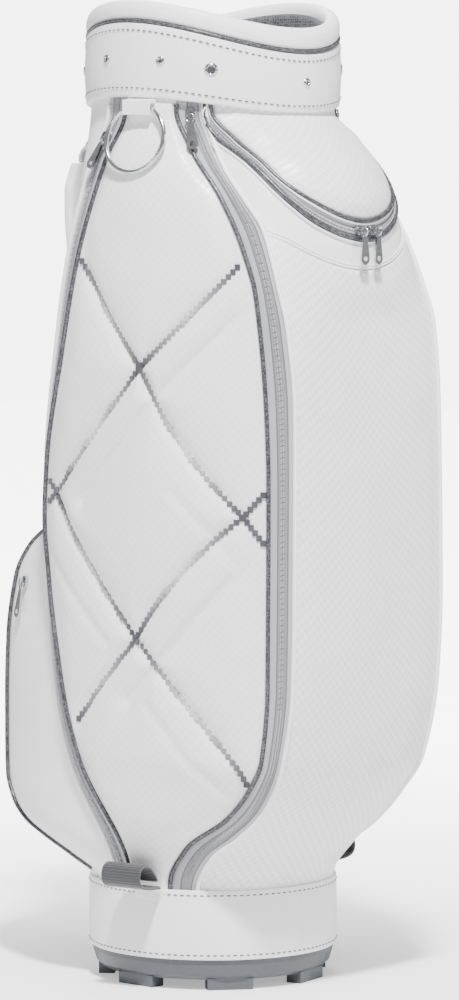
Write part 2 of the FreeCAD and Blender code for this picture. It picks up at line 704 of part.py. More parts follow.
def surface_frame(left, right, crown, s, t):
    """A point of a panel and the direction straight out of it."""
    step = 0.004
    across = on_panel(left, right, crown, s + step, t) - on_panel(left, right, crown, s - step, t)
    up = on_panel(left, right, crown, s, t + step) - on_panel(left, right, crown, s, t - step)
    out = across.cross(up).normalize()
    point = on_panel(left, right, crown, s, t)
    flat = Vector(point.x, point.y, 0)
    return point, (out if out.dot(flat) > 0 else out * -1), up.normalize()


def circle_through(a, b, c):
    """Centre and axis of the circle through three points."""
    u, v = b - a, c - a
    axis = u.cross(v)
    centre = a + (axis.cross(u) * v.dot(v) + v.cross(axis) * u.dot(u)) * (0.5 / axis.dot(axis))
    return centre, axis.normalize()


# ---------------------------------------------------------------- soft goods made from strips


def ribbon(path, wide, thick):
    """A strip of cloth or padding: a smooth path in the YZ plane, thickened and given a width along X."""
    points = [Vector(-wide / 2, y, z) for y, z in path]
    spline = Part.BSplineCurve()
    spline.interpolate(Points=points)
    steps = 4 * len(points)
    sides = ([], [])
    for k in range(steps + 1):
        u = spline.FirstParameter + (spline.LastParameter - spline.FirstParameter) * k / steps
        along = spline.tangent(u)[0]
        normal = Vector(0, -along.z, along.y) * (thick / 2)
        sides[0].append(spline.value(u) + normal)
        sides[1].append(spline.value(u) - normal)
    curves = []
    for side in sides:
        curve = Part.BSplineCurve()
        curve.interpolate(Points=side)
        curves.append(curve.toShape())
    caps = [Part.LineSegment(sides[0][i], sides[1][i]).toShape() for i in (0, -1)]
    face = Part.Face(Part.Wire(Part.__sortEdges__(curves + caps)))
    return face.extrude(Vector(wide, 0, 0))


def moved(shape, placement):
    shape.Placement = placement.multiply(shape.Placement)
    return shape


def facing(bearing, x=0.0):
    """Turns local +Y to look out of the bag at a bearing, with an optional shift along local X."""
    turn = Rotation(Vector(0, 0, 1), bearing - 180)
    return Placement(turn.multVec(Vector(x, 0, 0)), turn)


def grip_loop(label, bearing, out, rise):
    """A webbing loop that stands out above the base band."""
    foot_r = size("body_radius") + size("skin_thick") + 2.5
    low = size("band_top") + size("fit_gap") + size("loop_thick") / 2
    path = [
        (foot_r + 3.5, low), (foot_r + 0.55 * out, low + 0.05 * rise), (foot_r + out, low + 0.35 * rise),
        (foot_r + 0.97 * out, low + 0.8 * rise), (foot_r + 0.7 * out, low + rise),
        (foot_r + 0.36 * out, low + 0.62 * rise), (foot_r + 0.24 * out, low + 0.3 * rise),
    ]
    feature(label, ribbon(path, size("loop_wide"), size("loop_thick")), facing(bearing))


def build_grip_loops():
    for name, bearing in (("right", 80), ("left", -80)):
        grip_loop(f"grip_loop_{name}", bearing, size("loop_out"), size("loop_rise"))
    grip_loop("grip_loop_back", 180, 1.45 * size("loop_out"), size("loop_rise"))


def hanging_tab(name, wide, slot, tail):
    """A folded leather tab: local origin at the middle of its slot, +Y out, with its tail running up."""
    body = new_body(name)
    deep = f"({slot} + Sizes.tab_thick)"
    pad = body.newObject("PartDesign::Pad", name + "_leather")
    pad.Profile = outline(
        body, "YZ_Plane", name + "_side",
        [(f"-{deep}", f"-{deep}"), (deep, f"-{deep}"), (deep, deep), (f"-{deep} + 3", tail), (f"-{deep}", tail)],
    )
    pad.setExpression("Length", wide)
    pad.Midplane = True
    hole = body.newObject("PartDesign::Pocket", name + "_slot")
    hole.Profile = circle_sketch(body, "YZ_Plane", name + "_slot_outline", "0", "0", slot)
    hole.Type = 1
    hole.Midplane = True
    DOC.recompute()
    return body


def torus(name, radius, wire, placement):
    obj = DOC.addObject("Part::Torus", name)
    bind(obj, Radius1=radius, Radius2=wire)
    obj.Placement = placement
    return keep(obj, name)


RING_LEAN = 15.0
TOWEL_SLOT = "(Sizes.ring_wire + 2.0)"
STRAP_SLOT = "(Sizes.dring_wire + 2.3)"


def side_seat(radius, z, bearing):
    """A placement out at a bearing: local +Y out, +Z up."""
    place = facing(bearing)
    return Placement(polar(bearing, radius, z), place.Rotation)


def ring_below(place, radius, drop, lean, axis=Vector(1, 0, 0)):
    """Where a ring sits when it hangs from a slot and leans out."""
    turn = Rotation(axis, lean)
    centre = turn.multVec(Vector(0, 0, drop - radius))
    flat = Rotation(Vector(1, 0, 0), 90)
    return place.multiply(Placement(centre, turn.multiply(flat)))


def towel_seat():
    deep = value(TOWEL_SLOT) + size("tab_thick")
    bearing = size("ring_bearing")
    edge = wave_at(size("collar_low"), size("collar_low_wave"), bearing)
    radius = size("body_radius") + TUCK + size("fit_gap") + deep
    return side_seat(radius + 1.2, edge - deep - 1.5, bearing)


def build_towel_ring():
    place = towel_seat()
    tail = "(Sizes.ring_wire + 2.0 + Sizes.tab_thick + 1)"
    tab = hanging_tab("towel_tab", "Sizes.tab_wide", TOWEL_SLOT, tail)
    tab.Placement = place
    keep(tab, "towel_tab")
    torus("towel_ring", "Sizes.ring_radius", "Sizes.ring_wire", ring_below(place, size("ring_radius"), 1.6, RING_LEAN))


# ---------------------------------------------------------------- zip sliders and pulls


SLIDER_LIFT = 1.2
BAR_THICK = 1.3
LINK_OUT = 0.85
LINK_DROP = 1.05


def slider_body(name, turned):
    """A slider: local origin on the chain, +Y out. Its bridge runs along Z, or along X when turned."""
    body = new_body(name)
    lift = str(SLIDER_LIFT)
    plate = body.newObject("PartDesign::Pad", name + "_plate")
    wide, long = ("Sizes.slider_long", "Sizes.slider_wide") if turned else ("Sizes.slider_wide", "Sizes.slider_long")
    nip = "1.8"
    plate.Profile = outline(
        body, "XZ_Plane", name + "_plate_outline",
        [
            (f"-{wide} / 2", f"-{long} / 2 + {nip}"), (f"-{wide} / 2 + {nip}", f"-{long} / 2"),
            (f"{wide} / 2 - {nip}", f"-{long} / 2"), (f"{wide} / 2", f"-{long} / 2 + {nip}"),
            (f"{wide} / 2", f"{long} / 2 - {nip}"), (f"{wide} / 2 - {nip}", f"{long} / 2"),
            (f"-{wide} / 2 + {nip}", f"{long} / 2"), (f"-{wide} / 2", f"{long} / 2 - {nip}"),
        ],
    )
    plate.Reversed = True
    plate.setExpression("Length", f"{lift} + Sizes.slider_thick")
    trim = body.newObject("PartDesign::Pocket", name + "_chain_room")
    trim.Profile = outline(
        body, "XZ_Plane", name + "_chain_outline",
        [("-20", "-20"), ("20", "-20"), ("20", "20"), ("-20", "20")],
    )
    trim.Reversed = False
    trim.Length = value(lift)
    top = f"({lift} + Sizes.slider_thick)"
    reach, leg = "3.3", "1.4"
    arch = body.newObject("PartDesign::Pad", name + "_bridge")
    role = "XY_Plane" if turned else "YZ_Plane"
    corners = [
        (f"-{reach}", f"{top} - 0.5"), (f"-{reach} + {leg}", f"{top} - 0.5"),
        (f"-{reach} + {leg}", f"{top} + Sizes.bridge_high - {BAR_THICK}"), (f"{reach} - {leg}", f"{top} + Sizes.bridge_high - {BAR_THICK}"),
        (f"{reach} - {leg}", f"{top} - 0.5"), (reach, f"{top} - 0.5"),
        (reach, f"{top} + Sizes.bridge_high"), (f"-{reach}", f"{top} + Sizes.bridge_high"),
    ]
    if not turned:
        corners = [(out, along) for along, out in corners]
    arch.Profile = outline(body, role, name + "_bridge_outline", corners)
    arch.Length = 1.9
    arch.Midplane = True
    body.Tip = arch
    DOC.recompute()
    return body


def pull_shape(turned):
    """A pull hanging along -Z from its link. The origin is where the link turns on the slider's bridge."""
    ring_r, wire = size("link_radius"), size("link_wire")
    wide, long, thick = size("pull_wide"), size("pull_long"), size("pull_thick")
    across = Vector(1, 0, 0) if turned else Vector(0, 1, 0)
    hang = Vector(0, LINK_OUT, -LINK_DROP) if turned else Vector(0, 0, -ring_r)
    link = Part.makeTorus(ring_r, wire, hang, across)
    top = hang.z - ring_r + 0.4
    neck = 0.26 * wide
    low = top - long
    edge = Part.Wire(
        [
            Part.Arc(Vector(-neck, 0, top - 1.5), Vector(0, 0, top), Vector(neck, 0, top - 1.5)).toShape(),
            Part.LineSegment(Vector(neck, 0, top - 1.5), Vector(wide / 2, 0, low + wide / 2)).toShape(),
            Part.Arc(
                Vector(wide / 2, 0, low + wide / 2), Vector(0, 0, low), Vector(-wide / 2, 0, low + wide / 2)
            ).toShape(),
            Part.LineSegment(Vector(-wide / 2, 0, low + wide / 2), Vector(-neck, 0, top - 1.5)).toShape(),
        ]
    )
    plate = Part.Face(edge).extrude(Vector(0, thick, 0))
    plate.translate(Vector(0, hang.y - thick / 2, 0))
    eye = Vector(0, hang.y - 1.5 * thick, low + 0.5 * wide)
    hole = Part.makeCylinder(0.22 * wide, 3 * thick, eye, Vector(0, 1, 0))
    return link.fuse(plate.cut(hole)).removeSplitter()


def front_point(x, z):
    """Share across the front panel, and share of its height, at a spot seen from the front."""
    left = mirrored(FRONT_EDGE)
    t = (z - size("skin_bottom")) / (size("skin_top") - size("skin_bottom"))
    low, high = 0.0, 1.0
    for _ in range(40):
        s = (low + high) / 2
        if on_panel(left, FRONT_EDGE, FRONT_CROWN, s, t).x < x:
            low = s
        else:
            high = s
    return s, t


def u_zip_spot(travel):
    """The spot a distance along the upper pocket's zip from its middle, to +X."""
    rise = size("lid_corner") - size("lid_bottom")
    half = size("lid_half_low")
    inner = (half * half + rise * rise) / (2 * rise)
    radius = inner + (size("lid_bottom") - size("zip_bottom")) / 2
    a = travel / radius
    return front_point(radius * math.sin(a), size("lid_bottom") + inner - radius * math.cos(a))


# name, seams either side, crown, where the slider waits, and where it can be drawn to, as (s, t) spots
def zip_runs():
    front = (mirrored(FRONT_EDGE), FRONT_EDGE, FRONT_CROWN)
    runs = []
    for side, name in ((1, "right"), (-1, "left")):
        spots = [u_zip_spot(side * d) for d in (8, 26, 44)]
        runs.append((f"upper_{name}", front, spots, True))
    for side, name in ((1, "right"), (-1, "left")):
        def line(rows):
            return rows if side > 0 else mirrored(rows)

        runs.append(
            (f"front_{name}", (line(FRONT_EDGE), line(SIDE_FRONT_EDGE), NO_CROWN),
             [(0.5, 0.973), (0.5, 0.951), (0.5, 0.929)], False)
        )
        runs.append(
            (f"rear_{name}", (line(SIDE_REAR_EDGE), line(REAR_ZIP_EDGE), NO_CROWN),
             [(0.5, 0.945), (0.5, 0.915), (0.5, 0.885)], False)
        )
        wall = (REAR_ZIP_EDGE, BACK_CORNER) if side > 0 else (mirrored(REAR_ZIP_EDGE), mirrored(BACK_CORNER))
        runs.append((f"back_{name}", (*wall, WALL_CROWN), [(0.72, 0.39), (0.72, 0.35), (0.72, 0.31)], False))
    return runs


def slider_seat(surface, spot, turned):
    point, out, up = surface_frame(*surface, *spot)
    guide = Vector(0, 0, 1) if turned else up
    return seat(point, out, guide)


def wire_height(turned):
    """Height above the cloth of the point a pull turns about."""
    bar_under = size("bridge_high") - BAR_THICK
    above_plate = bar_under + BAR_THICK / 2 if turned else bar_under / 2
    return SLIDER_LIFT + size("slider_thick") + above_plate


def rest_lean(surface, spot, place, turned):
    """How far a pull leans out so that its whole length clears the cloth, and any seam piping, below it."""
    beside = size("piping_proud") if surface[2] is NO_CROWN else 0.0
    reach = size("pull_long") + 2 * size("link_radius")
    hinge = Vector(0, wire_height(turned), 0)
    back = place.inverse()
    lean = 0.0
    for k in range(1, 41):
        for across in (-0.06, 0.0, 0.06):
            t = spot[1] - k * 0.0016
            cloth = back.multVec(on_panel(*surface, spot[0] + across, t)) - hinge
            down = -cloth.z
            if 4 < down < reach + 1:
                rise = cloth.y + size("pull_thick") / 2 + 1.2 + beside
                lean = max(lean, math.degrees(math.atan2(rise, down)))
    return lean


def build_zip_pulls():
    for name, surface, spots, turned in zip_runs():
        place = slider_seat(surface, spots[0], turned)
        slider = slider_body(f"slider_{name}", turned)
        slider.Placement = place
        keep(slider, f"slider_{name}")
        lean = Rotation(Vector(1, 0, 0), rest_lean(surface, spots[0], place, turned))
        hang = place.multiply(Placement(Vector(0, wire_height(turned), 0), lean))
        feature(f"pull_{name}", pull_shape(turned), hang)


# ---------------------------------------------------------------- shoulder strap and grab handle


def back_y():
    """Where strap tabs sit on the flat of the spine."""
    return size("body_radius") + 6.5


def strap_ring_y():
    return back_y() + value(STRAP_SLOT) + size("tab_thick")


UPPER_RING_LEAN = 50.0


def build_strap():
    x, ring_y = size("strap_x"), strap_ring_y()
    radius, wire, thick = size("dring_radius"), size("dring_wire"), size("webbing_thick")
    upper, lower = size("upper_ring_z"), size("lower_ring_z")
    tail = "(Sizes.dring_wire + 2.3 + Sizes.tab_thick + 8)"
    hold = 1.2
    rooms = {}
    for name, z, lean in (("upper", upper, UPPER_RING_LEAN), ("lower", lower, 0)):
        place = Placement(Vector(x, ring_y, z), Rotation())
        tab = hanging_tab(f"strap_tab_{name}", "12", STRAP_SLOT, tail)
        tab.Placement = place
        keep(tab, f"strap_tab_{name}")
        rest = ring_below(place, radius, hold, lean)
        torus(f"strap_ring_{name}", "Sizes.dring_radius", "Sizes.dring_wire", rest)
        room = Part.makeTorus(radius, wire + size("fit_gap"))
        room.Placement = rest
        rooms[name] = room
    reach = 2 * radius - hold
    lean = math.radians(UPPER_RING_LEAN)
    end_y, end_z = ring_y + reach * math.sin(lean), upper - reach * math.cos(lean)
    hole_z = lower - reach
    wrap = thick / 2 + wire + size("fit_gap")
    low_end = lower - 80
    shift = Placement(Vector(x, 0, 0), Rotation())
    pad_path = [
        (end_y + 5, end_z - 10), (end_y + 6, end_z - 33), (ring_y + 20, end_z - 78), (ring_y + 14, end_z - 135),
        (ring_y + 13, low_end + 60), (ring_y + 13, low_end),
    ]
    feature("shoulder_pad", ribbon(pad_path, size("pad_wide"), size("pad_thick")), shift)
    loop_top = [
        (end_y - 1, end_z - 8), (end_y - wrap, end_z - 1), (end_y - 0.6, end_z + wrap),
        (end_y + wrap, end_z + 0.5), (end_y + 5, end_z - 8.5),
    ]
    wide = size("webbing_wide") - 8
    feature("strap_webbing_upper", moved(ribbon(loop_top, wide, thick), shift).cut(rooms["upper"]))
    bottom = low_end - 28
    loop_low = [
        (ring_y + 13, low_end - 1.5), (ring_y + 12, low_end - 15), (ring_y + 7, bottom), (ring_y + 1, bottom + 6),
        (ring_y - 1, low_end), (ring_y - wrap - 0.2, hole_z - 12), (ring_y - wrap, hole_z),
        (ring_y, hole_z + wrap), (ring_y + wrap, hole_z), (ring_y + wrap - 0.4, hole_z - 12),
    ]
    feature("strap_webbing_lower", moved(ribbon(loop_low, wide, thick), shift).cut(rooms["lower"]))


def build_handle():
    base = size("body_radius") + 6.0
    out, low, high = size("handle_out"), size("handle_low"), size("handle_high")
    rest = base + size("webbing_thick")
    middle = (low + high) / 2
    path = [
        (rest, low - 22), (rest, low), (rest + 0.66 * out, low + 20), (base + out, low + 46), (base + out + 1, middle),
        (base + out, high - 46), (rest + 0.66 * out, high - 20), (rest, high), (rest, high + 22),
    ]
    place = Placement(Vector(size("handle_x"), 0, 0), Rotation())
    strap = ribbon(path, 22, size("webbing_thick"))
    feature("grab_handle", strap, place)
    grip = Part.makeCylinder(size("handle_grip"), high - low - 92, Vector(0, base + out + 0.6, low + 46))
    room = ribbon(path, 22 + 2 * size("fit_gap"), size("webbing_thick") + 2 * size("fit_gap"))
    sleeve = Part.makeBox(30, 2 * size("handle_grip"), high - low - 92)
    sleeve.translate(Vector(-15, base + out + 0.6 - size("handle_grip"), low + 46))
    sleeve = sleeve.makeFillet(6, [e for e in sleeve.Edges if e.BoundBox.ZLength > 20])
    grip = sleeve.cut(room)
    feature("handle_grip", grip, place)


def main():
    build_base()
    build_mouth()
    build_studs()
    build_skin()
    build_grip_loops()
    build_towel_ring()
    build_zip_pulls()
    build_strap()
    build_handle()
    DOC.recompute()
    broken = [o.Label for o in DOC.Objects if {"Invalid", "Error"} & set(o.State)]
    broken += [o.Label for o in NODES if o.Shape.isNull() or not o.Shape.isValid()]
    if broken:
        raise RuntimeError("these did not build: " + ", ".join(sorted(set(broken))))
    os.makedirs("parts", exist_ok=True)
    for obj in NODES:
        obj.Shape.exportStep(f"parts/{obj.Label}.step")
    print(len(NODES), "sub-parts written")


main()
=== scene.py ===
"""Golf bag: white coated-leather panels, quilted sides, zips, padded collar, straps and moulded base.

Frame: metres, +Z up, -Y is the front. Bearings are degrees from the front, positive towards +X.
"""

import math

import bmesh
import bpy
from mathutils import Matrix, Vector, noise
from mathutils.kdtree import KDTree


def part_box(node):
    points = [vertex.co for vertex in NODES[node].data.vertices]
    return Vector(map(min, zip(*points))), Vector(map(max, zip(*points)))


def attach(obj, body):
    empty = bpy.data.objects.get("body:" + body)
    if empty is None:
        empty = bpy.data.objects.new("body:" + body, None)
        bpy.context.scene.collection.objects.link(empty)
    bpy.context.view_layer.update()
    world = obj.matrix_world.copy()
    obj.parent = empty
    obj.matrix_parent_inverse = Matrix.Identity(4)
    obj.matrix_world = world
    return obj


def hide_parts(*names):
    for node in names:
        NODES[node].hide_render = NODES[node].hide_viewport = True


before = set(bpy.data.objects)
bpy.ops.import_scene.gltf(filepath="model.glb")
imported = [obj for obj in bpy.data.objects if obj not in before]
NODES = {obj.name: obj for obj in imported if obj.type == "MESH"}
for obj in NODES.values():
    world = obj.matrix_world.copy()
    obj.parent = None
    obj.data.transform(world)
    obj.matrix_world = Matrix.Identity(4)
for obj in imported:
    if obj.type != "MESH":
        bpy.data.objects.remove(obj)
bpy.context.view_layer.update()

bl_info = {
    "name": "Golf Bag",
    "version": (1, 0, 0),
    "blender": (4, 5, 0),
    "location": "View3D > Sidebar > Golf Bag",
    "description": "Soft goods, stitching, zips and finishes for a golf bag",
    "category": "Object",
}

MM = 0.001
UP = Vector((0, 0, 1))


# ------------------------------------------------------------------ settings


class GolfBagSizes(bpy.types.PropertyGroup):
    body_radius: bpy.props.FloatProperty(
        name="Body radius", description="Outside of the body tube", default=0.101, unit="LENGTH"
    )
    skin_bottom: bpy.props.FloatProperty(
        name="Skin bottom", description="Lower edge of the sewn panels", default=0.064, unit="LENGTH"
    )
    skin_top: bpy.props.FloatProperty(
        name="Skin top", description="Upper edge of the sewn panels", default=0.772, unit="LENGTH"
    )
    quilt_depth: bpy.props.FloatProperty(
        name="Quilting depth", description="How deep the sewn channels pull in", default=0.0046, unit="LENGTH"
    )
    stitch_pitch: bpy.props.FloatProperty(
        name="Stitch pitch", description="From one stitch to the next", default=0.0058, unit="LENGTH"
    )
    check_pitch: bpy.props.FloatProperty(
        name="Check pitch", description="Size of one embossed check", default=0.0042, unit="LENGTH"
    )


def colour_property(name, description, hex_code):
    return bpy.props.FloatVectorProperty(
        name=name, description=description, subtype="COLOR", size=4, min=0, max=1, default=linear(hex_code)
    )


def linear(hex_code):
    """An sRGB hex colour as linear RGBA."""
    values = [int(hex_code[i : i + 2], 16) / 255 for i in (1, 3, 5)]
    return tuple(v / 12.92 if v <= 0.04045 else ((v + 0.055) / 1.055) ** 2.4 for v in values) + (1.0,)


class GolfBagFinishes(bpy.types.PropertyGroup):
    leather: colour_property("Leather", "Coated leather of the panels and collar", "#F4F4F5")
    tape: colour_property("Zip tape", "Satin tape beside the zip chains", "#A6A6AB")
    thread: colour_property("Thread", "Top stitching on collar and base", "#4C4C52")
    glitter: colour_property("Piping", "Glitter-coated piping", "#4B4B4F")
    moulded: colour_property("Base", "Moulded base cup", "#4B4E54")
    webbing: colour_property("Webbing", "Grip loops and strap webbing", "#2B2B2F")
    mesh: colour_property("Mesh", "Lining of the mouth", "#505156")


def sizes():
    return bpy.context.scene.golf_bag_sizes


def finishes():
    return bpy.context.scene.golf_bag_finishes


# ------------------------------------------------------------------ the shape of the bag

# Seam lines: share of the panel height, bearing in degrees, mm out from the body tube.
TUCK = 3.8
FRONT_EDGE = [
    (0.0, 54, TUCK), (0.034, 53.4, TUCK), (0.078, 46.2, 24), (0.103, 37.7, 42), (0.143, 30.7, 66),
    (0.19, 28.5, 87), (0.29, 26.9, 101), (0.39, 26.8, 104), (0.62, 26.5, 102), (0.72, 27.8, 96),
    (0.765, 29, 86), (0.835, 31.3, 65), (0.876, 36.5, 45), (0.91, 42, 25), (0.945, 46.5, 9),
    (0.975, 50, TUCK), (1.0, 50, TUCK),
]
SIDE_FRONT_EDGE = [
    (0.0, 66.8, TUCK), (0.04, 66.8, TUCK), (0.086, 57.9, 12), (0.126, 41.9, 38), (0.164, 35.6, 59),
    (0.203, 32.9, 74), (0.29, 31.6, 79), (0.53, 31.4, 79.5), (0.62, 31.9, 78), (0.757, 34.2, 69.6),
    (0.814, 37.2, 56), (0.877, 44.1, 37), (0.938, 57, 10.5), (0.98, 63.6, TUCK), (1.0, 63.6, TUCK),
]
SIDE_REAR_EDGE = [
    (0.0, 87, TUCK), (0.04, 87, TUCK), (0.064, 87.3, 9), (0.184, 105, 32), (0.25, 110.7, 39),
    (0.323, 116.5, 42), (0.41, 124.5, 44), (0.479, 128, 46), (0.541, 126, 45), (0.669, 115.5, 39),
    (0.8, 107, 31), (0.915, 98.4, 15), (0.975, 91, TUCK), (1.0, 90, TUCK),
]
REAR_ZIP_EDGE = [
    (0.0, 97, TUCK), (0.04, 97, TUCK), (0.064, 97.5, 9), (0.184, 115.5, 31), (0.25, 121.3, 38),
    (0.323, 127.3, 41), (0.41, 135.3, 43), (0.479, 138.8, 45), (0.541, 136.8, 44), (0.669, 126.3, 38),
    (0.8, 118, 30), (0.915, 110, 15), (0.975, 104, TUCK), (1.0, 103, TUCK),
]
BACK_CORNER = [
    (0.0, 118, TUCK), (0.035, 118, TUCK), (0.062, 126, 24), (0.082, 136, 46), (0.098, 144, 65),
    (0.117, 149, 78), (0.15, 152, 87), (0.2, 153.6, 89.5), (0.25, 153.6, 89.5), (0.323, 153.6, 88),
    (0.397, 154, 81), (0.435, 154, 68), (0.468, 154, 42), (0.489, 154, 20),
]
# Crowns: share of the height, mm that the middle of a panel stands out past its seams.
FRONT_CROWN = [
    (0.0, 0), (0.06, 0), (0.103, -5), (0.143, -10), (0.19, -14), (0.29, -15), (0.39, -15),
    (0.53, -16), (0.62, -18), (0.72, -19), (0.765, -8), (0.835, 12), (0.876, 31), (0.91, 38),
    (0.945, 28), (0.962, 12), (0.974, 0), (1.0, 0),
]
SIDE_CROWN = [
    (0.0, 0), (0.04, 0), (0.086, 3), (0.13, -4), (0.184, -16), (0.25, -22), (0.4, -26), (0.53, -26),
    (0.669, -22), (0.757, -19), (0.814, -15), (0.877, -5), (0.938, 2), (0.98, 0), (1.0, 0),
]
BACK_CROWN = [(0.0, 0), (0.062, -2), (0.098, -4), (0.15, -6), (0.435, -8), (0.468, -11), (0.489, -14)]
WALL_CROWN = [(0.0, 0), (0.07, 0), (0.15, -5), (0.489, -5)]
SPINE_CROWN = [(0.489, -40), (0.541, -39), (0.669, -33), (0.8, -26), (0.915, -10), (0.975, 0), (1.0, 0)]
FLAT_CROWN = [(0.0, 0), (1.0, 0)]
BACK_POCKET_TOP = 0.489
LEFT, RIGHT = -1, 1


def smooth(rows, t):
    """Column values at t, from rows of (t, value, ...) joined by a monotone cubic."""
    t = min(max(t, rows[0][0]), rows[-1][0])
    i = max(k for k in range(len(rows) - 1) if rows[k][0] <= t)
    step = rows[i + 1][0] - rows[i][0]
    u = (t - rows[i][0]) / step
    weights = (2 * u**3 - 3 * u**2 + 1, u**3 - 2 * u**2 + u, 3 * u**2 - 2 * u**3, u**3 - u**2)

    def slope(k, column):
        return (rows[k + 1][column] - rows[k][column]) / (rows[k + 1][0] - rows[k][0])

    def tangent(k, column):
        if k in (0, len(rows) - 1):
            return slope(min(k, len(rows) - 2), column)
        before, after = slope(k - 1, column), slope(k, column)
        return 0.0 if before * after <= 0 else 2 * before * after / (before + after)

    return [
        weights[0] * rows[i][c] + weights[1] * step * tangent(i, c)
        + weights[2] * rows[i + 1][c] + weights[3] * step * tangent(i + 1, c)
        for c in range(1, len(rows[0]))
    ]


def polar(bearing, radius, z):
    a = math.radians(bearing)
    return Vector((radius * math.sin(a), -radius * math.cos(a), z))


def height(t):
    low, high = sizes().skin_bottom, sizes().skin_top
    return low + t * (high - low)


class Panel:
    """One sewn panel of the bag between two seam lines."""

    def __init__(self, left, right, crown, sides=(1, 1)):
        self.edges = (left, right)
        self.sides = sides
        self.crown = crown
        self.kept = {}

    def station(self, t):
        """Bearing and radius of both seams, and the crown, at a share of the height."""
        if t not in self.kept:
            ends = []
            for rows, side in zip(self.edges, self.sides):
                bearing, out = smooth(rows, t)
                ends.append((bearing * side, sizes().body_radius + out * MM))
            self.kept[t] = (*ends, smooth(self.crown, t)[0] * MM)
        return self.kept[t]

    def at(self, s, t, lift=0.0):
        (a0, r0), (a1, r1), bulge = self.station(t)
        if a1 < a0 - 180:
            a1 += 360
        return polar(a0 + s * (a1 - a0), r0 + s * (r1 - r0) + 4 * s * (1 - s) * bulge + lift, height(t))


def mirror_panel(left, right, crown, side):
    """A side's panel; on the -X side its seams swap so that it still runs from left to right."""
    if side == RIGHT:
        return Panel(left, right, crown)
    return Panel(right, left, crown, (-1, -1))


FRONT = Panel(FRONT_EDGE, FRONT_EDGE, FRONT_CROWN, (-1, 1))
BACK = Panel(BACK_CORNER, BACK_CORNER, BACK_CROWN, (1, -1))
SPINE = Panel(REAR_ZIP_EDGE, REAR_ZIP_EDGE, SPINE_CROWN, (1, -1))
QUILTED = {side: mirror_panel(SIDE_FRONT_EDGE, SIDE_REAR_EDGE, SIDE_CROWN, side) for side in (LEFT, RIGHT)}
FRONT_ZIP = {side: mirror_panel(FRONT_EDGE, SIDE_FRONT_EDGE, FLAT_CROWN, side) for side in (LEFT, RIGHT)}
REAR_ZIP = {side: mirror_panel(SIDE_REAR_EDGE, REAR_ZIP_EDGE, FLAT_CROWN, side) for side in (LEFT, RIGHT)}
WALL = {side: mirror_panel(REAR_ZIP_EDGE, BACK_CORNER, WALL_CROWN, side) for side in (LEFT, RIGHT)}
SIDE_NAMES = {LEFT: "left", RIGHT: "right"}


def share(z):
    low, high = sizes().skin_bottom, sizes().skin_top
    return (z - low) / (high - low)


def on_front(x, z, lift=0.0):
    """The front skin at a spot seen square from the front."""
    t = share(z)
    low, high = 0.0, 1.0
    for _ in range(16):
        s = (low + high) / 2
        if FRONT.at(s, t).x < x:
            low = s
        else:
            high = s
    return FRONT.at((low + high) / 2, t, lift)


# Half outlines of the upper pocket seen from the front: its panel, its zip and the strip below, in mm.
LID_LINE = [
    (0, 664), (17, 666), (34, 671.7), (50, 681), (60, 690), (67, 702), (70.5, 718), (73.5, 737), (76.5, 757),
    (79, 772),
]
ZIP_LINE = [
    (0, 646), (17, 648), (35, 653.5), (52, 663), (64, 675.5), (71.5, 690), (76, 709), (78.5, 727), (80.5, 745),
    (82.5, 772),
]
YOKE_LINE = [
    (0, 622), (20, 623.5), (40, 628.5), (58, 636), (74, 645.5), (91, 656), (92, 680), (90, 706), (86, 736),
    (83.5, 772),
]


def along_line(line, u):
    """A point of a half outline made whole: u runs from the left end over the middle to the right end."""
    reach = abs(2 * u - 1) * (len(line) - 1)
    i = min(int(reach), len(line) - 2)
    a, b = line[i], line[i + 1]
    before = line[i - 1] if i else (-line[1][0], line[1][1])
    after = line[i + 2] if i + 2 < len(line) else b
    f = reach - i

    def blend(k):
        m0, m1 = (b[k] - before[k]) / 2, (after[k] - a[k]) / 2
        return (
            a[k] * (2 * f**3 - 3 * f**2 + 1) + m0 * (f**3 - 2 * f**2 + f)
            + b[k] * (3 * f**2 - 2 * f**3) + m1 * (f**3 - f**2)
        )

    return math.copysign(blend(0), 2 * u - 1) * MM, blend(1) * MM


def between_lines(inner, outer, u, v, lift=0.0):
    """A point of the front skin between two outlines."""
    (x0, z0), (x1, z1) = along_line(inner, u), along_line(outer, u)
    return on_front(x0 + v * (x1 - x0), z0 + v * (z1 - z0), lift)


# ------------------------------------------------------------------ mesh helpers


def new_object(name, mesh, material, body, slot=None, replaces=(), soft=True):
    obj = bpy.data.objects.new(name, mesh)
    bpy.context.scene.collection.objects.link(obj)
    for m in material if isinstance(material, (list, tuple)) else [material]:
        mesh.materials.append(m)
    if soft:
        mesh.shade_smooth()
    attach(obj, body)
    if replaces:
        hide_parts(*replaces)
    return obj


def mesh_from(bm, name):
    bmesh.ops.recalc_face_normals(bm, faces=bm.faces)
    mesh = bpy.data.meshes.new(name)
    bm.to_mesh(mesh)
    bm.free()
    return mesh


def thicken(obj, thick, offset=-1.0):
    wall = obj.modifiers.new("cloth thickness", "SOLIDIFY")
    wall.thickness = thick
    wall.offset = offset
    wall.use_even_offset = False
    return obj


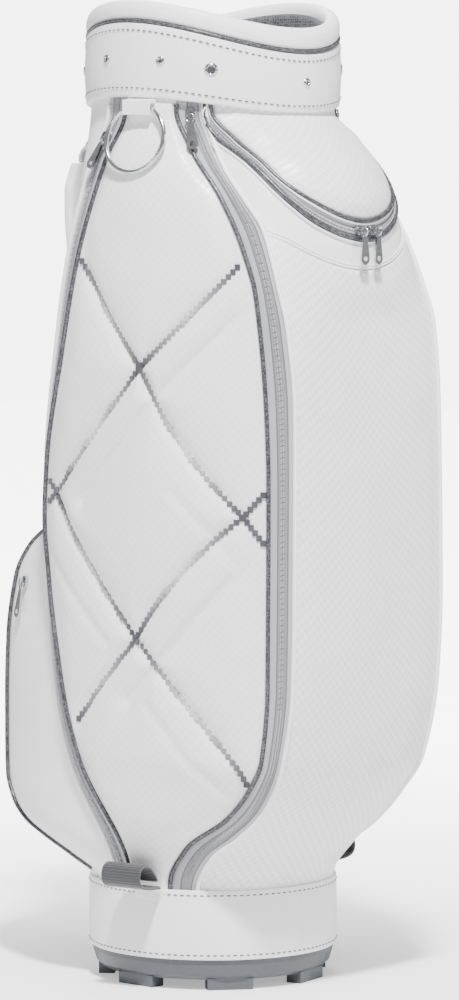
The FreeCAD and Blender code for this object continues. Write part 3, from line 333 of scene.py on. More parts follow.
def cloth_mesh(name, place, cells):
    """A grid laid by place(u, v), facing out of the bag, with real lengths in its UV map."""
    nx, ny = cells
    rows = [[place(i / nx, j / ny) for i in range(nx + 1)] for j in range(ny + 1)]
    lengths = []
    for row in rows:
        run = [0.0]
        for a, b in zip(row, row[1:]):
            run.append(run[-1] + (b - a).length)
        lengths.append([d - run[-1] / 2 for d in run])
    climb = [0.0]
    for a, b in zip(rows, rows[1:]):
        climb.append(climb[-1] + (b[nx // 2] - a[nx // 2]).length)
    bm = bmesh.new()
    bmesh.ops.create_grid(bm, x_segments=nx, y_segments=ny, size=0.5)
    grid_uv = bm.loops.layers.uv.new("real_lengths")
    spots = {}
    for vert in bm.verts:
        i, j = round((vert.co.x + 0.5) * nx), round((vert.co.y + 0.5) * ny)
        spots[vert] = (i, j)
    for face in bm.faces:
        for loop in face.loops:
            i, j = spots[loop.vert]
            loop[grid_uv].uv = (lengths[j][i], climb[j])
    for vert, (i, j) in spots.items():
        vert.co = rows[j][i]
    bm.normal_update()
    middle = min(bm.faces, key=lambda f: (f.calc_center_median() - rows[ny // 2][nx // 2]).length)
    outward = Vector((middle.calc_center_median().x, middle.calc_center_median().y, 0))
    if middle.normal.dot(outward) < 0:
        bmesh.ops.reverse_faces(bm, faces=bm.faces)
    mesh = bpy.data.meshes.new(name)
    bm.to_mesh(mesh)
    bm.free()
    return mesh


def rope_mesh(name, runs, radius, closed=False, sides=3):
    """Round cords through lists of points, as one mesh."""
    curve = bpy.data.curves.new(name, "CURVE")
    curve.dimensions = "3D"
    curve.bevel_depth = radius
    curve.bevel_resolution = sides
    curve.use_fill_caps = True
    for points in runs:
        spline = curve.splines.new("POLY")
        spline.points.add(len(points) - 1)
        for spot, point in zip(spline.points, points):
            spot.co = (*point, 1)
        spline.use_cyclic_u = closed
    carrier = bpy.data.objects.new(name, curve)
    bpy.context.scene.collection.objects.link(carrier)
    bpy.context.view_layer.update()
    mesh = bpy.data.meshes.new_from_object(carrier.evaluated_get(bpy.context.evaluated_depsgraph_get()))
    bpy.data.objects.remove(carrier)
    bpy.data.curves.remove(curve)
    mesh.name = name
    return mesh


def frame_at(point, along, out):
    """A matrix whose X runs along a seam and whose Z stands out of the cloth."""
    x = along.normalized()
    z = (out - x * out.dot(x)).normalized()
    y = z.cross(x)
    return Matrix.Translation(point) @ Matrix((x, y, z)).transposed().to_4x4()


def outward_at(place, u, v, step=0.002):
    across = place(u + step, v) - place(u - step, v)
    up = place(u, v + step) - place(u, v - step)
    out = across.cross(up)
    flat = Vector((place(u, v).x, place(u, v).y, 0))
    return (out if out.dot(flat) > 0 else -out).normalized()


def stitch_places(path, pitch, size=(0.0042, 0.0013, 0.0009)):
    """Where thread dashes lie along path(w) -> (point, outward), w from 0 to 1."""
    fine = [path(k / 400)[0] for k in range(401)]
    total = sum((b - a).length for a, b in zip(fine, fine[1:]))
    count = max(2, round(total / pitch))
    run, wanted = 0.0, 0.5 * total / count
    places = []
    shape = Matrix.Diagonal((size[0] / 2, size[1] / 2, size[2] / 2, 1))
    for i, (a, b) in enumerate(zip(fine, fine[1:])):
        length = (b - a).length
        while run + length >= wanted and len(places) < count:
            w = (i + (wanted - run) / max(length, 1e-9)) / 400
            wanted += total / count
            point, out = path(w)
            ahead, back = path(min(w + 0.001, 1))[0], path(max(w - 0.001, 0))[0]
            places.append(frame_at(point, ahead - back, out) @ shape)
        run += length
    return places


def bead(bm, place):
    bmesh.ops.create_icosphere(bm, subdivisions=1, radius=1, matrix=place)


def scattered(name, shape, places, batch=40):
    """One small shape repeated at many places, as one mesh, made in batches to stay quick."""
    whole = bmesh.new()
    for start in range(0, len(places), batch):
        part = bmesh.new()
        for place in places[start : start + batch]:
            shape(part, place)
        piece = mesh_from(part, name + "_batch")
        whole.from_mesh(piece)
        bpy.data.meshes.remove(piece)
    mesh = bpy.data.meshes.new(name)
    whole.to_mesh(mesh)
    whole.free()
    return mesh


def spun(name, profile, steps=128, wave=None):
    """A profile of (radius, height) turned about Z; wave(bearing, z) then lifts it."""
    bm = bmesh.new()
    verts = [bm.verts.new((r, 0, z)) for r, z in profile]
    edges = [bm.edges.new(pair) for pair in zip(verts, verts[1:] + verts[:1])]
    bmesh.ops.spin(
        bm, geom=verts + edges, cent=(0, 0, 0), axis=(0, 0, 1), dvec=(0, 0, 0),
        angle=math.tau, steps=steps, use_merge=True,
    )
    if wave:
        for vert in bm.verts:
            vert.co.z += wave(math.degrees(math.atan2(vert.co.x, -vert.co.y)), vert.co.z)
    return mesh_from(bm, name)


def rounded(corners, radius, steps=4):
    """A closed outline with its corners rounded off."""
    points = []
    count = len(corners)
    for i, corner in enumerate(corners):
        corner = Vector(corner)
        before, after = Vector(corners[i - 1]) - corner, Vector(corners[(i + 1) % count]) - corner
        reach = min(radius, before.length * 0.45, after.length * 0.45)
        start, end = corner + before.normalized() * reach, corner + after.normalized() * reach
        for k in range(steps + 1):
            f = k / steps
            points.append(start * (1 - f) ** 2 + corner * 2 * f * (1 - f) + end * f**2)
    return [tuple(p) for p in points]


# ------------------------------------------------------------------ finishes


def node(tree, kind, feeds=None, **settings):
    """Adds a node; settings are its own properties, feeds are input values or sockets to link."""
    made = tree.nodes.new(kind)
    for name, value in settings.items():
        setattr(made, name, value)
    for name, value in (feeds or {}).items():
        if isinstance(value, bpy.types.NodeSocket):
            tree.links.new(value, made.inputs[name])
        else:
            made.inputs[name].default_value = value
    return made


def surface(name, **constant):
    """A material with its shader's own sockets set, and the places that patterns are read from."""
    made = bpy.data.materials.new(name)
    made.use_nodes = True
    tree = made.node_tree
    shader = tree.nodes["Principled BSDF"]
    for socket, value in constant.items():
        shader.inputs[socket.replace("_", " ")].default_value = value
    places = tree.nodes.new("ShaderNodeTexCoord")
    return made, tree, shader, places


def tinted(colour, gain):
    return tuple(min(1.0, c * gain) for c in colour[:3]) + (1.0,)


MADE = {}


def finish(maker):
    """Makes each finish once and hands the same one to every piece that wears it."""

    def get():
        if maker.__name__ not in MADE:
            MADE[maker.__name__] = maker()
        return MADE[maker.__name__]

    return get


@finish
def coated_leather():
    """Polyurethane-coated leather: a soft satin white with a fine pebble that only shows in raking light.

    Real pebbles are about 0.6 mm; drawn at 1.4 mm so that they show.
    """
    made, tree, shader, places = surface("coated leather", IOR=1.5, Roughness=0.46)
    colour = tuple(finishes().leather)
    cloud = node(tree, "ShaderNodeTexNoise", {"Vector": places.outputs["Object"], "Scale": 28.0, "Detail": 2.0})
    tone = node(
        tree, "ShaderNodeMix", {"Factor": cloud.outputs["Fac"], "A": tinted(colour, 0.955), "B": tinted(colour, 1.0)},
        data_type="RGBA",
    )
    tree.links.new(tone.outputs["Result"], shader.inputs["Base Color"])
    pebble = node(tree, "ShaderNodeTexVoronoi", {"Vector": places.outputs["Object"], "Scale": 1 / 0.0014})
    bump = node(tree, "ShaderNodeBump", {"Height": pebble.outputs["Distance"], "Strength": 0.10, "Distance": 0.0004})
    tree.links.new(bump.outputs["Normal"], shader.inputs["Normal"])
    return made


def embossed(name, painted_shade_drop, depth):
    """Coated leather embossed with a fine check: its second square is deeper by depth, rougher, and darker by the given
    drop, which is painted shade in the hollow.
    """
    made, tree, shader, places = surface(name, IOR=1.5)
    colour = tuple(finishes().leather)
    pitch = sizes().check_pitch
    checks = node(tree, "ShaderNodeTexChecker", {"Vector": places.outputs["UV"], "Scale": 1 / pitch})
    cloud = node(tree, "ShaderNodeTexNoise", {"Vector": places.outputs["Object"], "Scale": 22.0, "Detail": 3.0})
    base = node(
        tree, "ShaderNodeMix", {"Factor": cloud.outputs["Fac"], "A": tinted(colour, 0.96), "B": tinted(colour, 1.0)},
        data_type="RGBA",
    ).outputs["Result"]
    # Painted shade: the deeper squares are darkened in colour as if shadowed in their hollows.
    shaded_grey = 1 - painted_shade_drop
    tone = node(
        tree, "ShaderNodeMix", {"Factor": checks.outputs["Fac"], "A": (1, 1, 1, 1), "B": (shaded_grey, shaded_grey, shaded_grey + 0.008, 1)},
        data_type="RGBA",
    ).outputs["Result"]
    mixed = node(tree, "ShaderNodeMix", {"Factor": 1.0}, data_type="RGBA", blend_type="MULTIPLY")
    tree.links.new(base, mixed.inputs["A"])
    tree.links.new(tone, mixed.inputs["B"])
    tree.links.new(mixed.outputs["Result"], shader.inputs["Base Color"])
    gloss = node(tree, "ShaderNodeMapRange", {"Value": checks.outputs["Fac"], "To Min": 0.33, "To Max": 0.50})
    tree.links.new(gloss.outputs["Result"], shader.inputs["Roughness"])
    bump = node(
        tree, "ShaderNodeBump", {"Height": checks.outputs["Fac"], "Strength": 0.5, "Distance": depth}, invert=True
    )
    tree.links.new(bump.outputs["Normal"], shader.inputs["Normal"])
    return made


@finish
def check_leather():
    """Coated leather with a crisp embossed check: every other square is a touch deeper and duller, and darkened with
    painted shade.
    """
    return embossed("check-embossed leather", 0.13, 0.0004)


@finish
def quilted_leather():
    # Its deeper checks are darkened a little with painted shade.
    return embossed("quilted leather", 0.05, 0.0002)


@finish
def white_webbing():
    """Woven polyester webbing in off-white, ribbed 2.2 mm apart across the strap."""
    made, tree, shader, places = surface("white woven webbing", IOR=1.5, Roughness=0.6, Sheen_Weight=0.3)
    ribs = node(
        tree, "ShaderNodeTexWave",
        {"Vector": places.outputs["UV"], "Scale": 1 / (0.0022 * math.tau) * 2, "Distortion": 0.8},
        wave_type="BANDS", bands_direction="Y",
    )
    tone = node(
        tree, "ShaderNodeMix", {"Factor": ribs.outputs["Fac"], "A": linear("#C9C9CC"), "B": linear("#EDEDEF")},
        data_type="RGBA",
    )
    tree.links.new(tone.outputs["Result"], shader.inputs["Base Color"])
    bump = node(tree, "ShaderNodeBump", {"Height": ribs.outputs["Fac"], "Strength": 0.5, "Distance": 0.0004})
    tree.links.new(bump.outputs["Normal"], shader.inputs["Normal"])
    return made


@finish
def zip_tape():
    """Woven polyester zip tape: satin silver-grey with fine ribs along it and a dark line of painted shade in the
    groove beside the chain.
    """
    made, tree, shader, places = surface("woven zip tape", IOR=1.5, Roughness=0.42, Sheen_Weight=0.25)
    colour = tuple(finishes().tape)
    across = node(tree, "ShaderNodeAttribute", attribute_name="across")
    zones = node(tree, "ShaderNodeValToRGB", {"Fac": across.outputs["Fac"]})
    ramp = zones.color_ramp
    ramp.interpolation = "CONSTANT"
    ramp.elements[0].color = colour
    # The dark bands from 0.36 to 0.42 and from 0.74 to 0.79 across are painted shade in the grooves beside the chain.
    ramp.elements[1].position = 0.36
    ramp.elements[1].color = tinted(colour, 0.32)
    for spot, tone in ((0.42, 0.62), (0.74, 0.32), (0.79, 1.1)):
        ramp.elements.new(spot).color = tinted(colour, tone)
    ribs = node(
        tree, "ShaderNodeTexWave",
        {"Vector": places.outputs["UV"], "Scale": 1 / (0.0016 * math.tau) * 2, "Distortion": 0.4},
        wave_type="BANDS", bands_direction="Y",
    )
    tree.links.new(zones.outputs["Color"], shader.inputs["Base Color"])
    bump = node(tree, "ShaderNodeBump", {"Height": ribs.outputs["Fac"], "Strength": 0.3, "Distance": 0.0003})
    tree.links.new(bump.outputs["Normal"], shader.inputs["Normal"])
    return made


@finish
def nylon_coil():
    """Moulded nylon zip coil: pale grey, slightly waxy."""
    made, tree, shader, places = surface("nylon zip coil", IOR=1.53, Roughness=0.38)
    mottle = node(tree, "ShaderNodeTexNoise", {"Vector": places.outputs["Object"], "Scale": 500.0})
    tone = node(
        tree, "ShaderNodeMix", {"Factor": mottle.outputs["Fac"], "A": linear("#8B8B90"), "B": linear("#D0D0D4")},
        data_type="RGBA",
    )
    tree.links.new(tone.outputs["Result"], shader.inputs["Base Color"])
    return made


@finish
def glitter_piping():
    """Vinyl piping with metal flake: dark grey with pale sparkle. Flake is drawn at 0.9 mm so that it shows."""
    made, tree, shader, places = surface("metal-flake vinyl", IOR=1.5, Roughness=0.33, Metallic=0.35)
    colour = tuple(finishes().glitter)
    flake = node(tree, "ShaderNodeTexVoronoi", {"Vector": places.outputs["Object"], "Scale": 1 / 0.0009})
    spread = node(tree, "ShaderNodeSeparateColor", {"Color": flake.outputs["Color"]})
    lit = node(tree, "ShaderNodeMapRange", {"Value": spread.outputs["Red"], "From Min": 0.45, "From Max": 1.0})
    tone = node(
        tree, "ShaderNodeMix", {"Factor": lit.outputs["Result"], "A": tinted(colour, 0.55), "B": tinted(colour, 2.6)},
        data_type="RGBA",
    )
    tree.links.new(tone.outputs["Result"], shader.inputs["Base Color"])
    bump = node(tree, "ShaderNodeBump", {"Height": spread.outputs["Green"], "Strength": 0.3, "Distance": 0.0002})
    tree.links.new(bump.outputs["Normal"], shader.inputs["Normal"])
    return made


@finish
def thread():
    """Twisted polyester thread: dull mid grey."""
    made, tree, shader, places = surface("polyester thread", IOR=1.5, Roughness=0.7, Sheen_Weight=0.3)
    colour = tuple(finishes().thread)
    twist = node(tree, "ShaderNodeTexNoise", {"Vector": places.outputs["Object"], "Scale": 900.0})
    tone = node(
        tree, "ShaderNodeMix", {"Factor": twist.outputs["Fac"], "A": tinted(colour, 0.7), "B": tinted(colour, 1.3)},
        data_type="RGBA",
    )
    tree.links.new(tone.outputs["Result"], shader.inputs["Base Color"])
    return made


@finish
def embroidery():
    """Satin-stitch squares whose thread fades from dark grey to nearly white along each line."""
    made, tree, shader, places = surface("satin-stitch thread", IOR=1.5, Roughness=0.5, Sheen_Weight=0.3)
    fade = node(tree, "ShaderNodeAttribute", attribute_name="thread_shade")
    tone = node(
        tree, "ShaderNodeMix", {"Factor": fade.outputs["Fac"], "A": linear("#33333A"), "B": linear("#D2D2D7")},
        data_type="RGBA",
    )
    tree.links.new(tone.outputs["Result"], shader.inputs["Base Color"])
    floss = node(tree, "ShaderNodeTexNoise", {"Vector": places.outputs["Object"], "Scale": 1400.0})
    bump = node(tree, "ShaderNodeBump", {"Height": floss.outputs["Fac"], "Strength": 0.4, "Distance": 0.0002})
    tree.links.new(bump.outputs["Normal"], shader.inputs["Normal"])
    return made


@finish
def mesh_lining():
    """Knitted spacer mesh: grey with rows of small dark holes about 2.4 mm apart."""
    made, tree, shader, places = surface("spacer mesh", IOR=1.5, Roughness=0.8, Sheen_Weight=0.2)
    colour = tuple(finishes().mesh)
    holes = node(
        tree, "ShaderNodeTexVoronoi", {"Vector": places.outputs["Object"], "Scale": 1 / 0.0026, "Randomness": 0.35}
    )
    open_part = node(
        tree, "ShaderNodeMapRange", {"Value": holes.outputs["Distance"], "From Min": 0.25, "From Max": 0.5}
    )
    tone = node(
        tree, "ShaderNodeMix",
        {"Factor": open_part.outputs["Result"], "A": tinted(colour, 0.35), "B": tinted(colour, 1.25)},
        data_type="RGBA",
    )
    tree.links.new(tone.outputs["Result"], shader.inputs["Base Color"])
    bump = node(tree, "ShaderNodeBump", {"Height": open_part.outputs["Result"], "Strength": 0.5, "Distance": 0.0006})
    tree.links.new(bump.outputs["Normal"], shader.inputs["Normal"])
    return made


@finish
def divider_nylon():
    """Plain-woven nylon on foam: dark charcoal with a faint weave, drawn at 1.2 mm."""
    made, tree, shader, places = surface("woven nylon", IOR=1.5, Roughness=0.75, Sheen_Weight=0.3)
    weave = node(tree, "ShaderNodeTexChecker", {"Vector": places.outputs["Object"], "Scale": 1 / 0.0012})
    tone = node(
        tree, "ShaderNodeMix", {"Factor": weave.outputs["Fac"], "A": linear("#38383B"), "B": linear("#5A5A5E")},
        data_type="RGBA",
    )
    tree.links.new(tone.outputs["Result"], shader.inputs["Base Color"])
    bump = node(tree, "ShaderNodeBump", {"Height": weave.outputs["Fac"], "Strength": 0.25, "Distance": 0.0003})
    tree.links.new(bump.outputs["Normal"], shader.inputs["Normal"])
    return made


@finish
def webbing():
    """Woven polypropylene webbing: charcoal with a herringbone of ribs 2.2 mm apart."""
    made, tree, shader, places = surface("woven webbing", IOR=1.5, Roughness=0.62, Sheen_Weight=0.4)
    colour = tuple(finishes().webbing)
    ribs = node(
        tree, "ShaderNodeTexWave",
        {"Vector": places.outputs["UV"], "Scale": 1 / (0.0022 * math.tau) * 2, "Distortion": 1.2, "Detail": 1.0},
        wave_type="BANDS", bands_direction="Y",
    )
    tone = node(
        tree, "ShaderNodeMix", {"Factor": ribs.outputs["Fac"], "A": tinted(colour, 0.6), "B": tinted(colour, 1.7)},
        data_type="RGBA",
    )
    tree.links.new(tone.outputs["Result"], shader.inputs["Base Color"])
    bump = node(tree, "ShaderNodeBump", {"Height": ribs.outputs["Fac"], "Strength": 0.6, "Distance": 0.0005})
    tree.links.new(bump.outputs["Normal"], shader.inputs["Normal"])
    return made


@finish
def moulded_abs():
    """Injection-moulded ABS with a light spark-eroded texture: mid grey, soft highlights, scuffed a little."""
    made, tree, shader, places = surface("moulded ABS", IOR=1.54)
    colour = tuple(finishes().moulded)
    grain = node(tree, "ShaderNodeTexNoise", {"Vector": places.outputs["Object"], "Scale": 1 / 0.0011, "Detail": 3.0})
    scuffs = node(
        tree, "ShaderNodeTexNoise",
        {"Vector": places.outputs["Object"], "Scale": 60.0, "Detail": 4.0, "Distortion": 1.5},
    )
    tone = node(
        tree, "ShaderNodeMix", {"Factor": scuffs.outputs["Fac"], "A": tinted(colour, 0.88), "B": tinted(colour, 1.14)},
        data_type="RGBA",
    )
    tree.links.new(tone.outputs["Result"], shader.inputs["Base Color"])
    gloss = node(tree, "ShaderNodeMapRange", {"Value": scuffs.outputs["Fac"], "To Min": 0.34, "To Max": 0.5})
    tree.links.new(gloss.outputs["Result"], shader.inputs["Roughness"])
    bump = node(tree, "ShaderNodeBump", {"Height": grain.outputs["Fac"], "Strength": 0.15, "Distance": 0.0003})
    tree.links.new(bump.outputs["Normal"], shader.inputs["Normal"])
    return made


@finish
def tube_plastic():
    """Extruded polypropylene tube: charcoal with faint draw lines up it."""
    made, tree, shader, places = surface("extruded polypropylene", IOR=1.49, Roughness=0.5)
    stretch = node(tree, "ShaderNodeMapping", {"Vector": places.outputs["Object"], "Scale": (1.0, 1.0, 0.02)})
    lines = node(tree, "ShaderNodeTexNoise", {"Vector": stretch.outputs["Vector"], "Scale": 400.0})
    tone = node(
        tree, "ShaderNodeMix", {"Factor": lines.outputs["Fac"], "A": linear("#3C3C3F"), "B": linear("#515155")},
        data_type="RGBA",
    )
    tree.links.new(tone.outputs["Result"], shader.inputs["Base Color"])
    return made


@finish
def chrome():
    """Chrome-plated zinc: bright and cool, with a very faint haze from handling."""
    made, tree, shader, places = surface("chrome plate", Metallic=1.0)
    haze = node(tree, "ShaderNodeTexNoise", {"Vector": places.outputs["Object"], "Scale": 180.0, "Detail": 3.0})
    tone = node(
        tree, "ShaderNodeMix", {"Factor": haze.outputs["Fac"], "A": linear("#B9BABD"), "B": linear("#DADBDD")},
        data_type="RGBA",
    )
    tree.links.new(tone.outputs["Result"], shader.inputs["Base Color"])
    gloss = node(tree, "ShaderNodeMapRange", {"Value": haze.outputs["Fac"], "To Min": 0.10, "To Max": 0.24})
    tree.links.new(gloss.outputs["Result"], shader.inputs["Roughness"])
    return made


@finish
def stud_centre():
    """Dark enamel in the middle of a snap stud."""
    made, tree, shader, places = surface("dark enamel", IOR=1.5, Roughness=0.3)
    cloud = node(tree, "ShaderNodeTexNoise", {"Vector": places.outputs["Object"], "Scale": 300.0})
    tone = node(
        tree, "ShaderNodeMix", {"Factor": cloud.outputs["Fac"], "A": linear("#2E2E31"), "B": linear("#48484C")},
        data_type="RGBA",
    )
    tree.links.new(tone.outputs["Result"], shader.inputs["Base Color"])
    return made


@finish
def studio_floor():
    """Matt paper floor, nearly white, with the faintest mottle, that fades into the white room away from the bag."""
    made, tree, shader, places = surface("paper floor", IOR=1.45, Roughness=0.95)
    mottle = node(tree, "ShaderNodeTexNoise", {"Vector": places.outputs["Object"], "Scale": 3.0})
    tone = node(
        tree, "ShaderNodeMix", {"Factor": mottle.outputs["Fac"], "A": linear("#F0F0F0"), "B": linear("#F6F6F6")},
        data_type="RGBA",
    )
    tree.links.new(tone.outputs["Result"], shader.inputs["Base Color"])
    reach = node(tree, "ShaderNodeVectorMath", {0: places.outputs["Object"]}, operation="LENGTH")
    lift = node(
        tree, "ShaderNodeMapRange",
        {"Value": reach.outputs["Value"], "From Min": 0.15, "From Max": 1.6, "To Min": 0.5, "To Max": 6.0},
    )
    seen = node(tree, "ShaderNodeLightPath")
    glow = node(
        tree, "ShaderNodeMath", {0: lift.outputs["Result"], 1: seen.outputs["Is Camera Ray"]}, operation="MULTIPLY"
    )
    shader.inputs["Emission Color"].default_value = (1.0, 1.0, 1.0, 1.0)
    tree.links.new(glow.outputs["Value"], shader.inputs["Emission Strength"])
    return made


def refinish(name, material):
    """A better material for a CAD part that keeps its own shape."""
    part = NODES[name]
    if not part.material_slots:
        part.data.materials.append(material)
    for spot in part.material_slots:
        spot.material = material


# ------------------------------------------------------------------ sewn panels


def rumple(point, seed=0.0, size=0.055):
    """A slow, even unevenness of sewn leather, between -1 and 1."""
    return noise.noise(Vector((point.x, point.y, point.z)) / size + Vector((seed, seed * 1.7, 0)))


def edge_ease(s, t, wide, tall, reach=0.012):
    """0 at a panel's edges, 1 once a reach inside them, so that seams stay where they are sewn."""
    near = min(s * wide, (1 - s) * wide, t * tall, (1 - t) * tall)
    return 1 - math.exp(-((max(near, 0) / reach) ** 2))


def soft_panel(name, place, cells, material, slot, replaces, body="bag", thick=0.0030, puff=0.0012, seed=0.0):
    """A padded sewn panel: place(u, v, lift) with a gentle swell and some unevenness."""
    wide = (place(1, 0.5, 0) - place(0, 0.5, 0)).length
    tall = (place(0.5, 1, 0) - place(0.5, 0, 0)).length

    def swollen(u, v):
        ease = edge_ease(u, v, wide, tall)
        return place(u, v, ease * (puff + 0.0011 * rumple(place(u, v, 0), seed)))

    panel = new_object(name, cloth_mesh(name, swollen, cells), material, body, slot, replaces)
    thicken(panel, thick)
    return panel


class BuildBase(bpy.types.Operator):
    """The moulded cup with its feet, the sewn band above it and the plastic tube inside"""

    bl_idname = "golf_bag.base"
    bl_label = "Base and tube"

    def execute(self, context):
        refinish("base_cup", moulded_abs())
        refinish("body_tube", tube_plastic())
        refinish("collar_frame", moulded_abs())
        low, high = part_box("base_band")
        inner, outer = 0.1052, high[0]
        bottom, top = low[2], high[2]
        profile = rounded(
            [(inner, bottom), (outer, bottom), (outer + 0.0006, (bottom + top) / 2), (outer, top), (inner, top)], 0.0016
        )
        band = new_object(
            "base_band_leather", spun("base_band_leather", profile, 160), coated_leather(), "bag", "white_leather",
            ["base_band"]
        )
        stitches = []

        def run(level):
            def path(w):
                spot = polar(360 * w - 1, outer + 0.0003, level)
                return spot, Vector((spot.x, spot.y, 0)).normalized()

            return path

        for level in (bottom + 0.0042, top - 0.0045):
            stitches += stitch_places(run(level), sizes().stitch_pitch)

        def joint(w):
            spot = polar(-1.0, outer + 0.0004, bottom + 0.002 + w * (top - bottom - 0.004))
            return spot, Vector((spot.x, spot.y, 0)).normalized()

        fold = rope_mesh("base_band_joint", [[joint(k / 12)[0] for k in range(13)]], 0.0007)
        new_object("base_band_joint", fold, coated_leather(), "bag", "white_leather")
        new_object(
            "base_band_stitches", scattered("base_band_stitches", bead, stitches), thread(), "bag", "silver_piping"
        )
        return {"FINISHED"}


class BuildDividers(bpy.types.Operator):
    """The padded bars across the mouth and the cloths that hang from them"""

    bl_idname = "golf_bag.dividers"
    bl_label = "Dividers"

    def execute(self, context):
        low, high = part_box("divider_grid")
        reach, top, deep = high[0], high[2], high[2] - low[2]
        front_y, back_y = -0.238 * sizes().body_radius, 0.297 * sizes().body_radius
        half = 0.0049

        def bar(bm, start, end):
            along = (end - start).normalized()
            side = Vector((-along.y, along.x, 0))
            section = rounded([(-half, -deep), (half, -deep), (half, 0), (-half, 0)], 0.0042)
            rings = []
            for spot in (start, end):
                verts = [bm.verts.new(spot + side * x + UP * z) for x, z in section]
                rings.append([bm.edges.new(pair) for pair in zip(verts, verts[1:] + verts[:1])])
            bmesh.ops.bridge_loops(bm, edges=rings[0] + rings[1])
            bmesh.ops.holes_fill(bm, edges=rings[0] + rings[1])

        def chord(y, gap=0.0012):
            return math.sqrt((reach - gap) ** 2 - y * y)

        bars = bmesh.new()
        for y in (front_y, back_y):
            bar(bars, Vector((-chord(y), y, top)), Vector((chord(y), y, top)))
        bar(bars, Vector((0, front_y + half, top)), Vector((0, back_y - half, top)))
        bar(bars, Vector((0, back_y + half, top)), Vector((0, reach - 0.0012, top)))
        grid = new_object(
            "divider_bars", mesh_from(bars, "divider_bars"), divider_nylon(), "bag", "divider_cloth", ["divider_grid"]
        )
        floor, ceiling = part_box("divider_cloths")[0][2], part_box("divider_cloths")[1][2]
        tall = ceiling - floor
        runs = [
            (Vector((-chord(front_y, 0.004), front_y, 0)), Vector((chord(front_y, 0.004), front_y, 0))),
            (Vector((-chord(back_y, 0.004), back_y, 0)), Vector((chord(back_y, 0.004), back_y, 0))),
            (Vector((0, front_y + 0.002, 0)), Vector((0, back_y - 0.002, 0))),
            (Vector((0, back_y + 0.002, 0)), Vector((0, reach - 0.004, 0))),
        ]
        names = ("front", "back", "middle", "rear")
        for name, (a, b) in zip(names, runs):
            side = Vector((-(b - a).y, (b - a).x, 0)).normalized()

            def hang(u, v, a=a, b=b, side=side):
                sag = math.sin(math.pi * u) * math.sin(math.pi * v)
                wobble = 0.0007 * sag * math.sin(9 * u + 5 * v)
                return a + (b - a) * u + side * wobble + UP * (floor + v * tall)

            label = f"divider_cloth_{name}"
            cloth = new_object(
                label, cloth_mesh(label, hang, (max(6, round((b - a).length / 0.012)), 48)), divider_nylon(),
                "bag", "divider_cloth", ["divider_cloths"],
            )
            thicken(cloth, 0.0010, 0.0)
        return {"FINISHED"}


# ------------------------------------------------------------------ mouth and collar

COLLAR_INSIDE, COLLAR_OUTSIDE = 0.1052, 0.1101
COLLAR = {"low": -0.089, "low_wave": 0.006, "piping": -0.0305, "rim": -0.0115, "wave": 0.0115}


def bag_top():
    """Height of the mouth's highest point over the sides."""
    return sizes().skin_top + 0.078


def mouth_wave(wave):
    """How far a turned ring is lifted at a bearing and radius, so that its edge dips front and back."""

    def lift(bearing, radius):
        return -wave * math.cos(2 * math.radians(bearing)) * (radius / sizes().body_radius) ** 2

    return lift


def waved_ring(name, profile, low_wave, high_wave, low, high, steps=144):
    """A turned ring whose lower and upper edges follow their own waves."""
    bm = bmesh.new()
    verts = [bm.verts.new((r, 0, z)) for r, z in profile]
    edges = [bm.edges.new(pair) for pair in zip(verts, verts[1:] + verts[:1])]
    bmesh.ops.spin(
        bm, geom=verts + edges, cent=(0, 0, 0), axis=(0, 0, 1), dvec=(0, 0, 0),
        angle=math.tau, steps=steps, use_merge=True,
    )
    for vert in bm.verts:
        bearing = math.degrees(math.atan2(vert.co.x, -vert.co.y))
        radius = math.hypot(vert.co.x, vert.co.y)
        share = min(max((vert.co.z - low) / max(high - low, 1e-6), 0), 1)
        vert.co.z += mouth_wave(low_wave + share * (high_wave - low_wave))(bearing, radius)
    return mesh_from(bm, name)


def collar_edge(level, wave, bearing, radius):
    return level + mouth_wave(wave)(bearing, radius)


